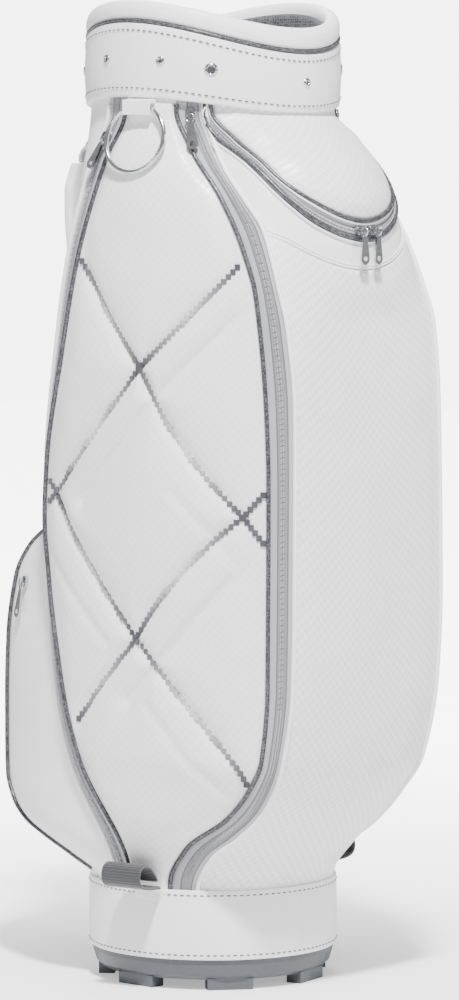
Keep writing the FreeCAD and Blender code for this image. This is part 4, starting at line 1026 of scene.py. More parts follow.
class BuildCollar(bpy.types.Operator):
    """The padded collar: its band, piping, rolled rim, mesh lining and stitching"""

    bl_idname = "golf_bag.collar"
    bl_label = "Collar"

    def execute(self, context):
        top = bag_top()
        inner, outer = COLLAR_INSIDE, COLLAR_OUTSIDE
        low, piping, rim = top + COLLAR["low"], top + COLLAR["piping"], top + COLLAR["rim"]
        wave, low_wave = COLLAR["wave"], COLLAR["low_wave"]
        half = 0.0018
        band_top = piping - half
        profile = rounded([(inner, low), (outer, low), (outer, band_top), (inner, band_top)], 0.0016)
        swell = []
        for r, z in profile:
            share = (z - low) / (band_top - low)
            swell.append((r + (0.0010 * math.sin(math.pi * share) if r > 0.108 else 0), z))
        levels = []
        for a, b in zip(swell, swell[1:] + swell[:1]):
            levels.append(a)
            for k in range(1, 12):
                if abs(b[1] - a[1]) > 0.02:
                    share = k / 12
                    z = a[1] + share * (b[1] - a[1])
                    bow = 0.0012 * math.sin(math.pi * share) if a[0] > 0.108 else 0
                    levels.append((a[0] + share * (b[0] - a[0]) + bow, z))
        band = new_object(
            "collar_band_leather", waved_ring("collar_band_leather", levels, low_wave, wave, low, band_top),
            coated_leather(), "bag", "white_leather", ["collar_band"],
        )
        ring = [
            (0.1068, piping - half), (0.1095, piping - half), (0.1111, piping), (0.1095, piping + half),
            (0.1068, piping + half),
        ]
        new_object(
            "collar_piping_vinyl",
            waved_ring("collar_piping_vinyl", rounded(ring, 0.001, 2), wave, wave, piping - half, piping + half),
            glitter_piping(), "bag", "silver_piping", ["collar_piping"],
        )
        inside, rise = 0.0962, rim - piping - half
        roll = [
            (outer - 0.0016, piping + half + 0.0001), (outer - 0.0002, piping + half + 0.0022),
            (outer + 0.0003, piping + half + rise * 0.45),
            (outer - 0.0012, rim - 0.0034), (outer - 0.0040, rim - 0.0008), (0.1032, rim), (0.0998, rim - 0.0008),
            (inside + 0.0010, rim - 0.0036), (inside, rim - 0.0085), (inside + 0.0008, rim - 0.016),
            (0.1030, rim - 0.017),
        ]
        edge = new_object(
            "rim_roll_leather", waved_ring("rim_roll_leather", rounded(roll, 0.002, 3), wave, wave, piping, rim),
            coated_leather(), "bag", "white_leather", ["rim_roll"],
        )
        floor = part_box("mouth_lining")[0][2]
        liner_r = 0.0952

        def line(u, v):
            bearing = 360 * u - 180
            high = collar_edge(rim - 0.0085, wave, bearing, liner_r)
            drape = 0.0004 * math.sin(math.radians(bearing * 23))
            return polar(bearing, liner_r + drape * math.sin(math.pi * v), floor + v * (high - floor))

        bm = bmesh.new()
        bm.from_mesh(cloth_mesh("mouth_lining_mesh", line, (180, 8)))
        bmesh.ops.remove_doubles(bm, verts=bm.verts, dist=1e-6)
        bmesh.ops.reverse_faces(bm, faces=bm.faces)
        mesh = bpy.data.meshes.new("mouth_lining_mesh")
        bm.to_mesh(mesh)
        bm.free()
        lining = new_object("mouth_lining_mesh", mesh, mesh_lining(), "bag", "lining_mesh", ["mouth_lining"])
        thicken(lining, 0.0009, 0.0)
        stitches = []

        def run(level, edge_wave, radius):
            def path(w):
                bearing = 360 * w
                spot = polar(bearing, radius, collar_edge(level, edge_wave, bearing, radius))
                return spot, Vector((spot.x, spot.y, 0)).normalized()

            return path

        stitches += stitch_places(run(band_top - 0.0062, wave * 0.97, outer + 0.0010), sizes().stitch_pitch)
        stitches += stitch_places(run(low + 0.0068, low_wave * 1.1, outer + 0.0010), sizes().stitch_pitch)
        new_object("collar_stitches", scattered("collar_stitches", bead, stitches), thread(), "bag", "silver_piping")
        return {"FINISHED"}


# Bearing of each stud, and 1 where it is a large one.
STUDS = [(0, 0), (47, 1), (-47, 1), (70, 0), (-70, 0), (101, 0), (-101, 0), (136, 0), (-136, 0)]


class BuildStuds(bpy.types.Operator):
    """Snap studs round the collar for a rain hood, each a domed cap with a dark centre"""

    bl_idname = "golf_bag.studs"
    bl_label = "Hood studs"

    def execute(self, context):
        caps, centres = bmesh.new(), bmesh.new()
        top = bag_top()
        for bearing, large in STUDS:
            low = collar_edge(top + COLLAR["low"], COLLAR["low_wave"], bearing, 0.110)
            high = collar_edge(top + COLLAR["piping"], COLLAR["wave"], bearing, 0.110)
            spot = polar(bearing, 0.1108, (low + high) / 2)
            out = Vector((spot.x, spot.y, 0)).normalized()
            place = frame_at(spot, UP, out)
            scale = 1.45 if large else 1.0
            radius = 0.0042 * scale
            hole = 0.50 if large else 0.34
            profile = [
                (radius * 0.86, -0.0010), (radius, 0.0002), (radius * 0.93, 0.0011), (radius * 0.72, 0.0017),
                (radius * (hole + 0.12), 0.0018), (radius * hole, 0.0013), (radius * hole, 0.0006),
            ]
            verts = [caps.verts.new((r, 0, z)) for r, z in profile]
            edges = [caps.edges.new(pair) for pair in zip(verts, verts[1:])]
            made = bmesh.ops.spin(
                caps, geom=verts + edges, cent=(0, 0, 0), axis=(0, 0, 1), dvec=(0, 0, 0),
                angle=math.tau, steps=20, use_merge=True,
            )
            fresh = [v for v in caps.verts if v.is_valid and not v.tag]
            bmesh.ops.transform(caps, matrix=place, verts=fresh)
            for vert in caps.verts:
                vert.tag = True
            disc = bmesh.ops.create_uvsphere(centres, u_segments=12, v_segments=6, radius=1)
            flat = Matrix.Diagonal((radius * (hole + 0.02), radius * (hole + 0.02), 0.0007, 1))
            bmesh.ops.transform(centres, matrix=place @ Matrix.Translation((0, 0, 0.0007)) @ flat, verts=disc["verts"])
        studs = new_object(
            "hood_stud_caps", mesh_from(caps, "hood_stud_caps"), chrome(), "bag", "chrome", ["hood_studs"]
        )
        thicken(studs, 0.0003)
        new_object("hood_stud_centres", mesh_from(centres, "hood_stud_centres"), stud_centre(), "bag", "chrome")
        return {"FINISHED"}


# ------------------------------------------------------------------ front

# Bottom, corner height and half width of the arcs under the strip and under the upper pocket, in metres.
YOKE_ARC = (0.622, 0.655, 0.085)
LID_ARC = (0.664, 0.700, 0.066)


def arc_height(arc, x):
    bottom, corner, half = arc
    rise = corner - bottom
    radius = (half * half + rise * rise) / (2 * rise)
    return bottom + radius - math.sqrt(max(radius * radius - min(abs(x), radius * 0.95) ** 2, 0))


def front_top(s):
    """Share of the height where the lower front panel ends against the strip above it."""
    t = 0.80
    for _ in range(4):
        t = share(arc_height(YOKE_ARC, FRONT.at(s, t).x))
    return t


class BuildFront(bpy.types.Operator):
    """The front panels: the long pocket, the strip above it and the upper pocket inside its curved zip"""

    bl_idname = "golf_bag.front"
    bl_label = "Front panels"

    def execute(self, context):
        tops = {}

        def lower(u, v, lift):
            if u not in tops:
                tops[u] = front_top(u)
            return FRONT.at(u, v * (tops[u] - 0.0008), lift)

        soft_panel(
            "front_pocket_leather", lower, (60, 150), check_leather(), "embossed_leather", ["front_panel"],
            puff=0.0016, seed=3.0
        )

        def strip(u, v, lift):
            return between_lines(ZIP_LINE, YOKE_LINE, u, 0.03 + 0.97 * v, lift)

        soft_panel(
            "front_yoke_leather", strip, (110, 7), coated_leather(), "white_leather", ["yoke_panel"], puff=0.0009,
            seed=5.0
        )

        def lid(u, v, lift):
            a = 2 * u - 1
            z = arc_height(LID_ARC, a * LID_ARC[2])
            z += v * (sizes().skin_top - z)
            half = LID_ARC[2] + (0.010 / 0.052) * max(z - LID_ARC[1], 0) * 0.92
            return on_front(a * min(half, 0.079), z, lift)

        soft_panel(
            "upper_pocket_leather", lid, (44, 30), check_leather(), "white_leather", ["upper_pocket_panel"],
            puff=0.0018, seed=8.0
        )
        ropes = [
            ("upper_pocket_piping", LID_LINE, ZIP_LINE, 0.04, 0.0019, glitter_piping(), "silver_piping", 0.0010),
            ("upper_pocket_cord", LID_LINE, ZIP_LINE, 0.20, 0.0011, coated_leather(), "white_leather", 0.0008),
            ("upper_zip_piping", ZIP_LINE, YOKE_LINE, -0.06, 0.0019, glitter_piping(), "silver_piping", 0.0010),
            ("upper_zip_cord", ZIP_LINE, YOKE_LINE, 0.07, 0.0011, coated_leather(), "white_leather", 0.0008),
        ]
        for name, inner, outer, v, radius, material, slot, lift in ropes:
            points = [between_lines(inner, outer, 0.02 + 0.96 * k / 120, v, lift) for k in range(121)]
            new_object(name, rope_mesh(name, [points], radius), material, "bag", slot)
        seam = []
        for v, lift in ((0.86, 0.0002), (0.955, 0.0002)):
            seam.append([between_lines(ZIP_LINE, YOKE_LINE, 0.10 + 0.80 * k / 90, v, lift) for k in range(91)])
        new_object(
            "front_yoke_seam", rope_mesh("front_yoke_seam", seam, 0.0006, sides=2), coated_leather(), "bag",
            "white_leather",
        )
        return {"FINISHED"}


# ------------------------------------------------------------------ quilted sides

# Sewn lines across a side panel: share of its width from the front seam, share of its height.
EMBROIDERED = [
    [(0.987, 0.495), (0.934, 0.5111), (0.501, 0.670), (0.024, 0.7965)],
    [(0.967, 0.2316), (0.509, 0.3422), (0.063, 0.4956), (0.010, 0.5233)],
    [(0.994, 0.8019), (0.501, 0.670), (0.063, 0.4956), (0.005, 0.4616)],
    [(0.989, 0.5295), (0.934, 0.5111), (0.509, 0.3422), (0.011, 0.1707)],
]
CROSSINGS = [(0.501, 0.670), (0.063, 0.4956), (0.509, 0.3422), (0.934, 0.5111)]
PLAIN = [[(0.014, 0.7482), (0.374, 0.6437), (0.75, 0.5065)], [(0.008, 0.4509), (0.302, 0.3436), (0.595, 0.2668)]]
FAINT = [
    [(0.296, 0.5226), (0.162, 0.4743), (0.007, 0.3999)],
    [(0.956, 0.4314), (0.677, 0.3378)],
    [(0.479, 0.2618), (0.296, 0.1981), (0.096, 0.1596)],
]
# Each group of lines with the share of the quilting depth it pulls in, and its half width in mm.
DEPTHS = ((EMBROIDERED, 1.0, 5.5), (PLAIN, 0.8, 4.5), (FAINT, 0.45, 5.0))


def side_spot(side, forward, t, lift=0.0):
    """A point of a side panel; forward is 0 at its front seam and 1 at its rear one on either side."""
    return QUILTED[side].at(forward if side == RIGHT else 1 - forward, t, lift)


def quilt_lines(side):
    """Every sewn line as points in the bag's space, with its depth and width."""
    lines = []
    for group, depth, wide in DEPTHS:
        for corners in group:
            points = []
            for (s0, t0), (s1, t1) in zip(corners, corners[1:]):
                points += [side_spot(side, s0 + (s1 - s0) * k / 24, t0 + (t1 - t0) * k / 24) for k in range(25)]
            lines.append((points, depth, wide * MM))
    return lines


def satin_square(bm, place):
    made = bmesh.ops.create_cube(bm, size=1, matrix=place)
    edges = {e for v in made["verts"] for e in v.link_edges}
    bmesh.ops.bevel(bm, geom=list(edges), offset=0.0003, segments=1, affect="EDGES", profile=0.5, material=-1)


class BuildSides(bpy.types.Operator):
    """The two quilted side panels with their sewn channels and embroidered lines"""

    bl_idname = "golf_bag.sides"
    bl_label = "Quilted sides"

    def execute(self, context):
        for side in (RIGHT, LEFT):
            name = SIDE_NAMES[side]
            trees = []
            for points, depth, wide in quilt_lines(side):
                tree = KDTree(len(points))
                for i, point in enumerate(points):
                    tree.insert(point, i)
                tree.balance()
                trees.append((tree, depth, wide))
            wide, tall = 0.13, 0.70

            def relief(u, v):
                flat = QUILTED[side].at(u, v)
                found = [(tree.find(flat)[2], depth, spread) for tree, depth, spread in trees]
                channel = max(depth * math.exp(-((d / spread) ** 2)) for d, depth, spread in found)
                strong = min(d for d, depth, spread in found if depth > 0.5)
                ease = edge_ease(u, v, wide, tall, 0.010)
                swell = 0.0042 * (1 - math.exp(-((strong / 0.020) ** 2)))
                lift = ease * (swell - sizes().quilt_depth * channel + 0.0010 * rumple(flat, 4.0 + side))
                return QUILTED[side].at(u, v, lift)

            label = f"side_{name}_leather"
            panel = new_object(
                label, cloth_mesh(label, relief, (80, 250)), quilted_leather(), "bag", "quilted_leather",
                [f"side_panel_{name}"],
            )
            thicken(panel, 0.0028)
            ends = [(s, t) for line in EMBROIDERED for s, t in (line[0], line[-1])]
            dark_spots = [side_spot(side, s, t) for s, t in CROSSINGS + ends]
            places, shades = [], []
            square = Matrix.Diagonal((0.0052, 0.0052, 0.0010, 1))
            for corners in EMBROIDERED:
                path = []
                for (s0, t0), (s1, t1) in zip(corners, corners[1:]):
                    path += [(s0 + (s1 - s0) * k / 300, t0 + (t1 - t0) * k / 300) for k in range(300)]
                run, before = 0.0, side_spot(side, *path[0])
                for s, t in path:
                    point = side_spot(side, s, t)
                    run += (point - before).length
                    before = point
                    u = s if side == RIGHT else 1 - s
                    if run < 0.0054 or not 0.006 < u < 0.994:
                        continue
                    run = 0.0
                    out = outward_at(relief, min(max(u, 0.004), 0.996), t)
                    places.append(frame_at(relief(u, t) + out * 0.0009, UP, out) @ square)
                    near = min((point - spot).length for spot in dark_spots)
                    shades.append((point, min(1.0, (near / 0.085) ** 1.5)))
            label = f"side_{name}_embroidery"
            mesh = scattered(label, satin_square, places)
            tones = mesh.attributes.new("thread_shade", "FLOAT", "POINT")
            tree = KDTree(len(shades))
            for i, (point, tone) in enumerate(shades):
                tree.insert(point, i)
            tree.balance()
            for vert in mesh.vertices:
                tones.data[vert.index].value = shades[tree.find(vert.co)[1]][1]
            new_object(label, mesh, embroidery(), "bag", "silver_piping", soft=False)
        return {"FINISHED"}


# ------------------------------------------------------------------ back


class BuildBack(bpy.types.Operator):
    """The back pocket, its side walls and the padded spine above it"""

    bl_idname = "golf_bag.back"
    bl_label = "Back panels"

    def execute(self, context):
        top = BACK_POCKET_TOP

        def pocket(u, v, lift):
            return BACK.at(u, v * top, lift)

        soft_panel(
            "back_pocket_leather", pocket, (50, 90), check_leather(), "white_leather", ["back_pocket_panel"],
            puff=0.0020, seed=11.0,
        )
        for side in (RIGHT, LEFT):
            name = SIDE_NAMES[side]

            def wall(u, v, lift, side=side):
                return WALL[side].at(u, v * top, lift)

            soft_panel(
                f"back_wall_{name}_leather", wall, (18, 90), coated_leather(), "white_leather", [f"back_wall_{name}"],
                puff=0.0008, seed=13.0 + side,
            )

        def spine(u, v, lift):
            t = top + 0.003 + v * (1 - top - 0.003)
            quilt = 0.0012 * (1 - abs(math.sin(math.pi * t * 14))) * edge_ease(u, v, 0.24, 0.36, 0.02)
            return SPINE.at(u, t, lift - quilt)

        soft_panel(
            "spine_leather", spine, (64, 110), coated_leather(), "white_leather", ["spine_panel"], puff=0.0014,
            seed=17.0,
        )
        return {"FINISHED"}


# ------------------------------------------------------------------ zips and seams


def coil_places(place, ends, spread=0.0024, pitch=0.0014, lift=0.0007):
    """Two rows of coil teeth up the middle of a zip; place(u, v, lift) with u across and v along it."""
    fine = [place(0.5, ends[0] + (ends[1] - ends[0]) * k / 600, 0) for k in range(601)]
    run, wanted, places = 0.0, 0.0, []
    tooth = Matrix.Diagonal((0.00050, 0.00122, 0.0006, 1))
    for k, (a, b) in enumerate(zip(fine, fine[1:])):
        run += (b - a).length
        if run < wanted:
            continue
        wanted += pitch
        v = ends[0] + (ends[1] - ends[0]) * k / 600
        across = (place(0.55, v, 0) - place(0.45, v, 0)).normalized()
        along = (b - a).normalized()
        out = across.cross(along).normalized()
        if out.dot(Vector((a.x, a.y, 0))) < 0:
            out = -out
        for side in (-1, 1):
            spot = a + across * side * spread / 2 * 1.05 + out * lift + along * (pitch / 4 * side)
            places.append(frame_at(spot, along, out) @ tooth)
    return places


def zip_cloth(name, place, cells, replaces):
    """The tape of a zip with its real lengths and its share across, which colours its stripes."""
    mesh = cloth_mesh(name, lambda u, v: place(u, v, 0.0), cells)
    across = mesh.attributes.new("across", "FLOAT", "POINT")
    nx, ny = cells
    tree = KDTree((nx + 1) * (ny + 1))
    for i in range(nx + 1):
        for j in range(ny + 1):
            tree.insert(place(i / nx, j / ny, 0.0), i)
    tree.balance()
    for vert in mesh.vertices:
        across.data[vert.index].value = tree.find(vert.co)[1] / nx
    tape = new_object(name, mesh, zip_tape(), "bag", "zip_tape", replaces)
    thicken(tape, 0.0022)
    return tape


class BuildZips(bpy.types.Operator):
    """The zip tapes with their coils, and the chromed sliders and pulls"""

    bl_idname = "golf_bag.zips"
    bl_label = "Zips"

    def execute(self, context):
        teeth = []
        for side in (RIGHT, LEFT):
            name = SIDE_NAMES[side]
            for label, panels in (("front", FRONT_ZIP), ("rear", REAR_ZIP)):
                panel = panels[side]
                flip = side == RIGHT if label == "front" else side == LEFT

                def place(u, v, lift, panel=panel):
                    return panel.at(u, v, lift)

                def striped(u, v, lift, panel=panel, flip=flip):
                    return panel.at(1 - u if flip else u, v, lift)

                zip_cloth(f"{label}_zip_{name}_tape", striped, (24, 150), [f"{label}_zip_{name}"])
                middle = 0.58 if not flip else 0.42

                def coil(u, v, lift, panel=panel, middle=middle):
                    return panel.at(middle + (u - 0.5), v, lift)

                teeth += coil_places(coil, (0.05, 0.965))

        def round_zip(u, v, lift):
            return between_lines(LID_LINE, ZIP_LINE, u, v, lift)

        zip_cloth("upper_zip_tape", lambda u, v, lift: round_zip(u, 0.02 + 0.96 * v, lift), (120, 8), ["upper_zip"])
        mesh = bpy.data.objects["upper_zip_tape"].data
        tree = KDTree(121 * 9)
        for i in range(121):
            for j in range(9):
                tree.insert(round_zip(i / 120, 0.02 + 0.96 * j / 8, 0.0), j)
        tree.balance()
        for vert in mesh.vertices:
            mesh.attributes["across"].data[vert.index].value = tree.find(vert.co)[1] / 8
        teeth += coil_places(lambda u, v, lift: round_zip(v, 0.10 + u, lift), (0.03, 0.97))
        new_object("zip_coils", scattered("zip_coils", bead, teeth), nylon_coil(), "bag", "zip_tape")
        for part in NODES:
            if part.startswith(("slider_", "pull_")):
                refinish(part, chrome())
        return {"FINISHED"}


class BuildPiping(bpy.types.Operator):
    """Flake vinyl piping and white cord along every long seam"""

    bl_idname = "golf_bag.piping"
    bl_label = "Seam piping"

    def execute(self, context):
        def seam(rows, side, low=0.03, high=0.985, lift=0.0, shift=0.0):
            points = []
            for k in range(141):
                t = low + (high - low) * k / 140
                bearing, out = smooth(rows, t)
                radius = sizes().body_radius + out * MM + lift
                turn = math.degrees(shift / radius)
                points.append(polar((bearing + turn) * side, radius, height(t)))
            return points

        for side in (RIGHT, LEFT):
            name = SIDE_NAMES[side]
            dark = [
                seam(SIDE_FRONT_EDGE, side, lift=0.0012, shift=-0.0004),
                seam(SIDE_REAR_EDGE, side, lift=0.0012),
            ]
            label = f"side_piping_{name}_vinyl"
            new_object(
                label, rope_mesh(label, dark, 0.0021), glitter_piping(), "bag", "silver_piping",
                [f"side_piping_{name}"],
            )
            white = [seam(FRONT_EDGE, side, high=0.968, lift=0.0008), seam(REAR_ZIP_EDGE, side, lift=0.0010)]
            label = f"white_piping_{name}"
            new_object(label, rope_mesh(label, white, 0.0019), coated_leather(), "bag", "white_leather")
        back = [seam(BACK_CORNER, side, 0.045, BACK_POCKET_TOP - 0.012, lift=0.0012) for side in (RIGHT, LEFT)]
        new_object(
            "back_piping_vinyl", rope_mesh("back_piping_vinyl", back, 0.0021), glitter_piping(), "bag",
            "silver_piping", ["back_piping"],
        )
        return {"FINISHED"}


# ------------------------------------------------------------------ webbing, straps and metal


def strip_mesh(name, path, wide, thick, across=24, along=96, edge=0.0006):
    """A flat strip through (y, z) points, its width along X, slightly rounded at its edges, with real lengths in UV."""
    curve = bpy.data.curves.new(name, "CURVE")
    curve.dimensions = "3D"
    spline = curve.splines.new("NURBS")
    spline.points.add(len(path) - 1)
    for spot, (y, z) in zip(spline.points, path):
        spot.co = (0, y, z, 1)
    spline.order_u = 3
    spline.use_endpoint_u = True
    spline.resolution_u = 10
    carrier = bpy.data.objects.new(name, curve)
    bpy.context.scene.collection.objects.link(carrier)
    bpy.context.view_layer.update()
    line = bpy.data.meshes.new_from_object(carrier.evaluated_get(bpy.context.evaluated_depsgraph_get()))
    points = [v.co.copy() for v in line.vertices]
    bpy.data.objects.remove(carrier)
    bpy.data.curves.remove(curve)
    bpy.data.meshes.remove(line)
    bm = bmesh.new()
    real = bm.loops.layers.uv.new("real_lengths")
    run = [0.0]
    for a, b in zip(points, points[1:]):
        run.append(run[-1] + (b - a).length)
    section = rounded(
        [(-wide / 2, -thick / 2), (wide / 2, -thick / 2), (wide / 2, thick / 2), (-wide / 2, thick / 2)],
        min(thick * 0.45, 0.004), 4,
    )
    loops = []
    spots = {}
    for i, point in enumerate(points):
        ahead = points[min(i + 1, len(points) - 1)] - points[max(i - 1, 0)]
        normal = Vector((0, -ahead.z, ahead.y)).normalized()
        verts = []
        for x, out in section:
            vert = bm.verts.new(point + Vector((x, 0, 0)) + normal * out)
            spots[vert] = (x, run[i])
            verts.append(vert)
        loops.append([bm.edges.new(pair) for pair in zip(verts, verts[1:] + verts[:1])])
    for a, b in zip(loops, loops[1:]):
        bmesh.ops.bridge_loops(bm, edges=a + b)
    bmesh.ops.holes_fill(bm, edges=loops[0] + loops[-1])
    for face in bm.faces:
        for loop in face.loops:
            loop[real].uv = spots[loop.vert]
    return mesh_from(bm, name)


def turned_to(mesh, bearing, x=0.0):
    """Turns a strip drawn facing +Y so that it faces out at a bearing, shifted along its own X first."""
    turn = Matrix.Rotation(math.radians(bearing - 180), 4, "Z") @ Matrix.Translation((x, 0, 0))
    mesh.transform(turn)
    return mesh


class BuildLoops(bpy.types.Operator):
    """The three webbing grip loops above the base band"""

    bl_idname = "golf_bag.loops"
    bl_label = "Grip loops"

    def execute(self, context):
        wide, thick = 0.040, 0.0026
        for name, bearing, out in (("right", 80, 0.034), ("left", -80, 0.034), ("back", 180, 1.45 * 0.034)):
            foot, rise = sizes().body_radius + 0.006, 0.022
            low = 0.088 + 0.0003 + thick / 2
            path = [
                (foot + 0.0035, low), (foot + 0.55 * out, low + 0.03 * rise), (foot + 1.03 * out, low + 0.20 * rise),
                (foot + 1.04 * out, low + 0.85 * rise), (foot + 0.72 * out, low + 1.05 * rise),
                (foot + 0.36 * out, low + 0.62 * rise), (foot + 0.24 * out, low + 0.3 * rise),
            ]
            label = f"grip_loop_{name}_webbing"
            mesh = turned_to(strip_mesh(label, path, wide, thick), bearing)
            new_object(label, mesh, webbing(), "bag", "webbing", [f"grip_loop_{name}"])
        return {"FINISHED"}


class BuildHardware(bpy.types.Operator):
    """The towel ring on its leather tab, and the rings of the shoulder strap"""

    bl_idname = "golf_bag.hardware"
    bl_label = "Rings and tabs"

    def execute(self, context):
        for name in ("towel_ring", "strap_ring_upper", "strap_ring_lower"):
            refinish(name, chrome())
        for name in ("towel_tab", "strap_tab_upper", "strap_tab_lower"):
            source = NODES[name]
            bm = bmesh.new()
            bm.from_mesh(source.data)
            bmesh.ops.remove_doubles(bm, verts=bm.verts, dist=1e-5)
            bmesh.ops.dissolve_limit(bm, angle_limit=0.02, verts=bm.verts, edges=bm.edges)
            sharp = [e for e in bm.edges if len(e.link_faces) == 2 and e.calc_face_angle(0) > 0.9]
            bmesh.ops.bevel(
                bm, geom=sharp, offset=0.0006, segments=2, affect="EDGES", profile=0.5, material=-1, clamp_overlap=True
            )
            new_object(
                f"{name}_leather", mesh_from(bm, f"{name}_leather"), coated_leather(), "bag", "white_leather", [name],
                soft=False,
            )
        return {"FINISHED"}


class BuildStrap(bpy.types.Operator):
    """The padded shoulder strap with the webbing that holds it to its rings"""

    bl_idname = "golf_bag.strap"
    bl_label = "Shoulder strap"

    def execute(self, context):
        low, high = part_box("shoulder_pad")
        x = (low[0] + high[0]) / 2
        pad_path = [
            (high[1] - 0.0075, high[2] - 0.001), (high[1] - 0.0055, high[2] - 0.022),
            (high[1] - 0.0065, high[2] - 0.066),
            (low[1] + 0.0085, high[2] - 0.118), (low[1] + 0.0058, low[2] + 0.06), (low[1] + 0.0058, low[2] + 0.001),
        ]
        mesh = strip_mesh("shoulder_pad_leather", pad_path, 0.053, 0.0105)
        reach = (low[2], high[2])
        for vert in mesh.vertices:
            share_up = (vert.co.z - reach[0]) / (reach[1] - reach[0])
            taper = min(1.0, 0.72 + 3.2 * min(share_up, 1 - share_up))
            vert.co.x *= taper
        mesh.transform(Matrix.Translation((x, 0, 0)))
        pad = new_object(
            "shoulder_pad_leather", mesh, coated_leather(), "shoulder_strap", "white_leather", ["shoulder_pad"]
        )
        for name in ("strap_webbing_upper", "strap_webbing_lower"):
            source = NODES[name]
            bm = bmesh.new()
            bm.from_mesh(source.data)
            bmesh.ops.remove_doubles(bm, verts=bm.verts, dist=1e-5)
            real = bm.loops.layers.uv.new("real_lengths")
            for face in bm.faces:
                for loop in face.loops:
                    loop[real].uv = (loop.vert.co.x, loop.vert.co.z)
            new_object(
                f"{name}_woven", mesh_from(bm, f"{name}_woven"), white_webbing(), "shoulder_strap", "webbing", [name],
                soft=False,
            )
        return {"FINISHED"}


class BuildHandle(bpy.types.Operator):
    """The webbing grab handle with its padded grip"""

    bl_idname = "golf_bag.handle"
    bl_label = "Grab handle"

    def execute(self, context):
        low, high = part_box("grab_handle")
        base = sizes().body_radius + 0.006
        out, thick = 0.036, 0.0024
        rest = base + thick
        bottom, top = low[2] + 0.022, high[2] - 0.022
        middle = (bottom + top) / 2
        path = [
            (rest, bottom - 0.022), (rest, bottom), (rest + 0.66 * out, bottom + 0.020), (base + out, bottom + 0.046),
            (base + out + 0.001, middle), (base + out, top - 0.046), (rest + 0.66 * out, top - 0.020), (rest, top),
            (rest, top + 0.022),
        ]
        mesh = strip_mesh("grab_handle_webbing", path, 0.022, thick)
        mesh.transform(Matrix.Translation((0.050, 0, 0)))
        new_object("grab_handle_webbing", mesh, webbing(), "bag", "webbing", ["grab_handle"])
        box_low, box_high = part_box("handle_grip")
        centre = Vector(((box_low[0] + box_high[0]) / 2, (box_low[1] + box_high[1]) / 2, 0))
        half_x, half_y = (box_high[0] - box_low[0]) / 2, (box_high[1] - box_low[1]) / 2
        bm = bmesh.new()
        outline = rounded([(-half_x, -half_y), (half_x, -half_y), (half_x, half_y), (-half_x, half_y)], 0.006, 5)
        loops = []
        steps = 28
        for k in range(steps + 1):
            f = k / steps
            pinch = 1 - 0.22 * (abs(2 * f - 1) ** 6)
            z = box_low[2] + 0.0004 + f * (box_high[2] - box_low[2] - 0.0008)
            verts = [bm.verts.new(centre + Vector((a * pinch, b * pinch, z))) for a, b in outline]
            loops.append([bm.edges.new(pair) for pair in zip(verts, verts[1:] + verts[:1])])
        for a, b in zip(loops, loops[1:]):
            bmesh.ops.bridge_loops(bm, edges=a + b)
        bmesh.ops.holes_fill(bm, edges=loops[0] + loops[-1])
        grip = new_object(
            "handle_grip_leather", mesh_from(bm, "handle_grip_leather"), coated_leather(), "bag", "white_leather",
            ["handle_grip"],
        )
        return {"FINISHED"}


# ------------------------------------------------------------------ stage


CAMERA_REACH, CAMERA_HIGH, CAMERA_AIM = 4.5, 0.780, 0.416


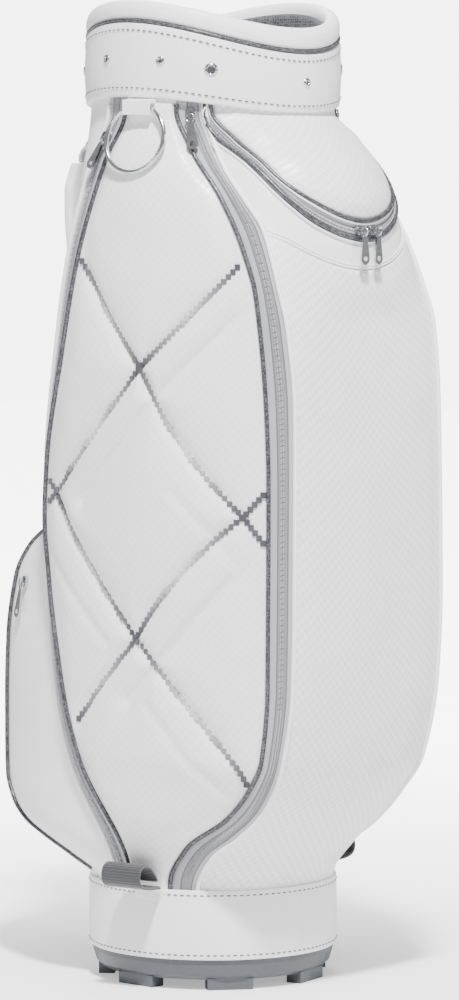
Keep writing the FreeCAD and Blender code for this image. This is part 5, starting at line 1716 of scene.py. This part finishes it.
class BuildStage(bpy.types.Operator):
    """A pale paper floor, soft studio light and the camera"""

    bl_idname = "golf_bag.stage"
    bl_label = "Stage"

    def execute(self, context):
        bm = bmesh.new()
        bmesh.ops.create_grid(bm, x_segments=2, y_segments=2, size=6.0)
        floor = bpy.data.objects.new("paper_floor", mesh_from(bm, "paper_floor"))
        context.scene.collection.objects.link(floor)
        floor.data.materials.append(studio_floor())
        world = bpy.data.worlds.new("soft white room")
        world.use_nodes = True
        room = world.node_tree
        sky = room.nodes["Background"]
        sky.inputs["Color"].default_value = (1.0, 1.0, 1.0, 1.0)
        sky.inputs["Strength"].default_value = 0.40
        wall = node(room, "ShaderNodeBackground", {"Color": (1.0, 1.0, 1.0, 1.0), "Strength": 6.0})
        seen = node(room, "ShaderNodeLightPath")
        both = node(room, "ShaderNodeMixShader", {"Fac": seen.outputs["Is Camera Ray"]})
        room.links.new(sky.outputs["Background"], both.inputs[1])
        room.links.new(wall.outputs["Background"], both.inputs[2])
        room.links.new(both.outputs["Shader"], room.nodes["World Output"].inputs["Surface"])
        context.scene.world = world

        def soft_box(name, place, target, wide, power):
            light = bpy.data.lights.new(name, "AREA")
            light.shape = "DISK"
            light.size = wide
            light.energy = power
            lamp = bpy.data.objects.new(name, light)
            lamp.location = place
            lamp.rotation_euler = (Vector(target) - Vector(place)).to_track_quat("-Z", "Y").to_euler()
            context.scene.collection.objects.link(lamp)

        soft_box("key_light", (-1.5, -1.7, 4.3), (0, 0, 0.45), 0.5, 560.0)
        soft_box("front_light", (1.4, -3.2, 1.5), (0, 0, 0.45), 0.5, 30.0)
        soft_box("left_light", (-3.3, 0.7, 1.6), (0, 0, 0.45), 0.5, 14.0)
        soft_box("back_fill", (2.0, 2.6, 2.4), (0, 0, 0.45), 1.6, 60.0)
        lens = bpy.data.cameras.new("camera")
        lens.sensor_width = 36.0
        lens.lens = 185.8
        lens.clip_end = 50
        lens.shift_x = 0.0165
        eye = Vector((-0.7218 * CAMERA_REACH, -0.6921 * CAMERA_REACH, CAMERA_HIGH))
        aim = Vector((0, 0, CAMERA_AIM))
        camera = bpy.data.objects.new("camera", lens)
        camera.location = eye
        camera.rotation_euler = (aim - eye).to_track_quat("-Z", "Y").to_euler()
        context.scene.collection.objects.link(camera)
        context.scene.camera = camera
        return {"FINISHED"}


class GolfBagPanel(bpy.types.Panel):
    """The golf bag's sizes, colours and pieces"""

    bl_idname = "VIEW3D_PT_golf_bag"
    bl_label = "Golf Bag"
    bl_space_type = "VIEW_3D"
    bl_region_type = "UI"
    bl_category = "Golf Bag"

    def draw(self, context):
        for group in (context.scene.golf_bag_sizes, context.scene.golf_bag_finishes):
            box = self.layout.box()
            for name in group.__annotations__:
                box.prop(group, name)
        for step in STEPS:
            self.layout.operator(step.bl_idname)


STEPS = (
    BuildStage, BuildBase, BuildDividers, BuildCollar, BuildStuds, BuildFront, BuildSides, BuildBack,
    BuildZips, BuildPiping, BuildLoops, BuildHardware, BuildStrap, BuildHandle,
)
CLASSES = (GolfBagSizes, GolfBagFinishes, *STEPS, GolfBagPanel)


def register():
    for kind in CLASSES:
        bpy.utils.register_class(kind)
    bpy.types.Scene.golf_bag_sizes = bpy.props.PointerProperty(type=GolfBagSizes)
    bpy.types.Scene.golf_bag_finishes = bpy.props.PointerProperty(type=GolfBagFinishes)


def unregister():
    del bpy.types.Scene.golf_bag_finishes
    del bpy.types.Scene.golf_bag_sizes
    for kind in reversed(CLASSES):
        bpy.utils.unregister_class(kind)


def main():
    register()
    for step in STEPS:
        family, action = step.bl_idname.split(".")
        result = getattr(getattr(bpy.ops, family), action)()
        if "FINISHED" not in result:
            raise RuntimeError(step.bl_label + " did not finish")


if __name__ == "__main__":
    main()
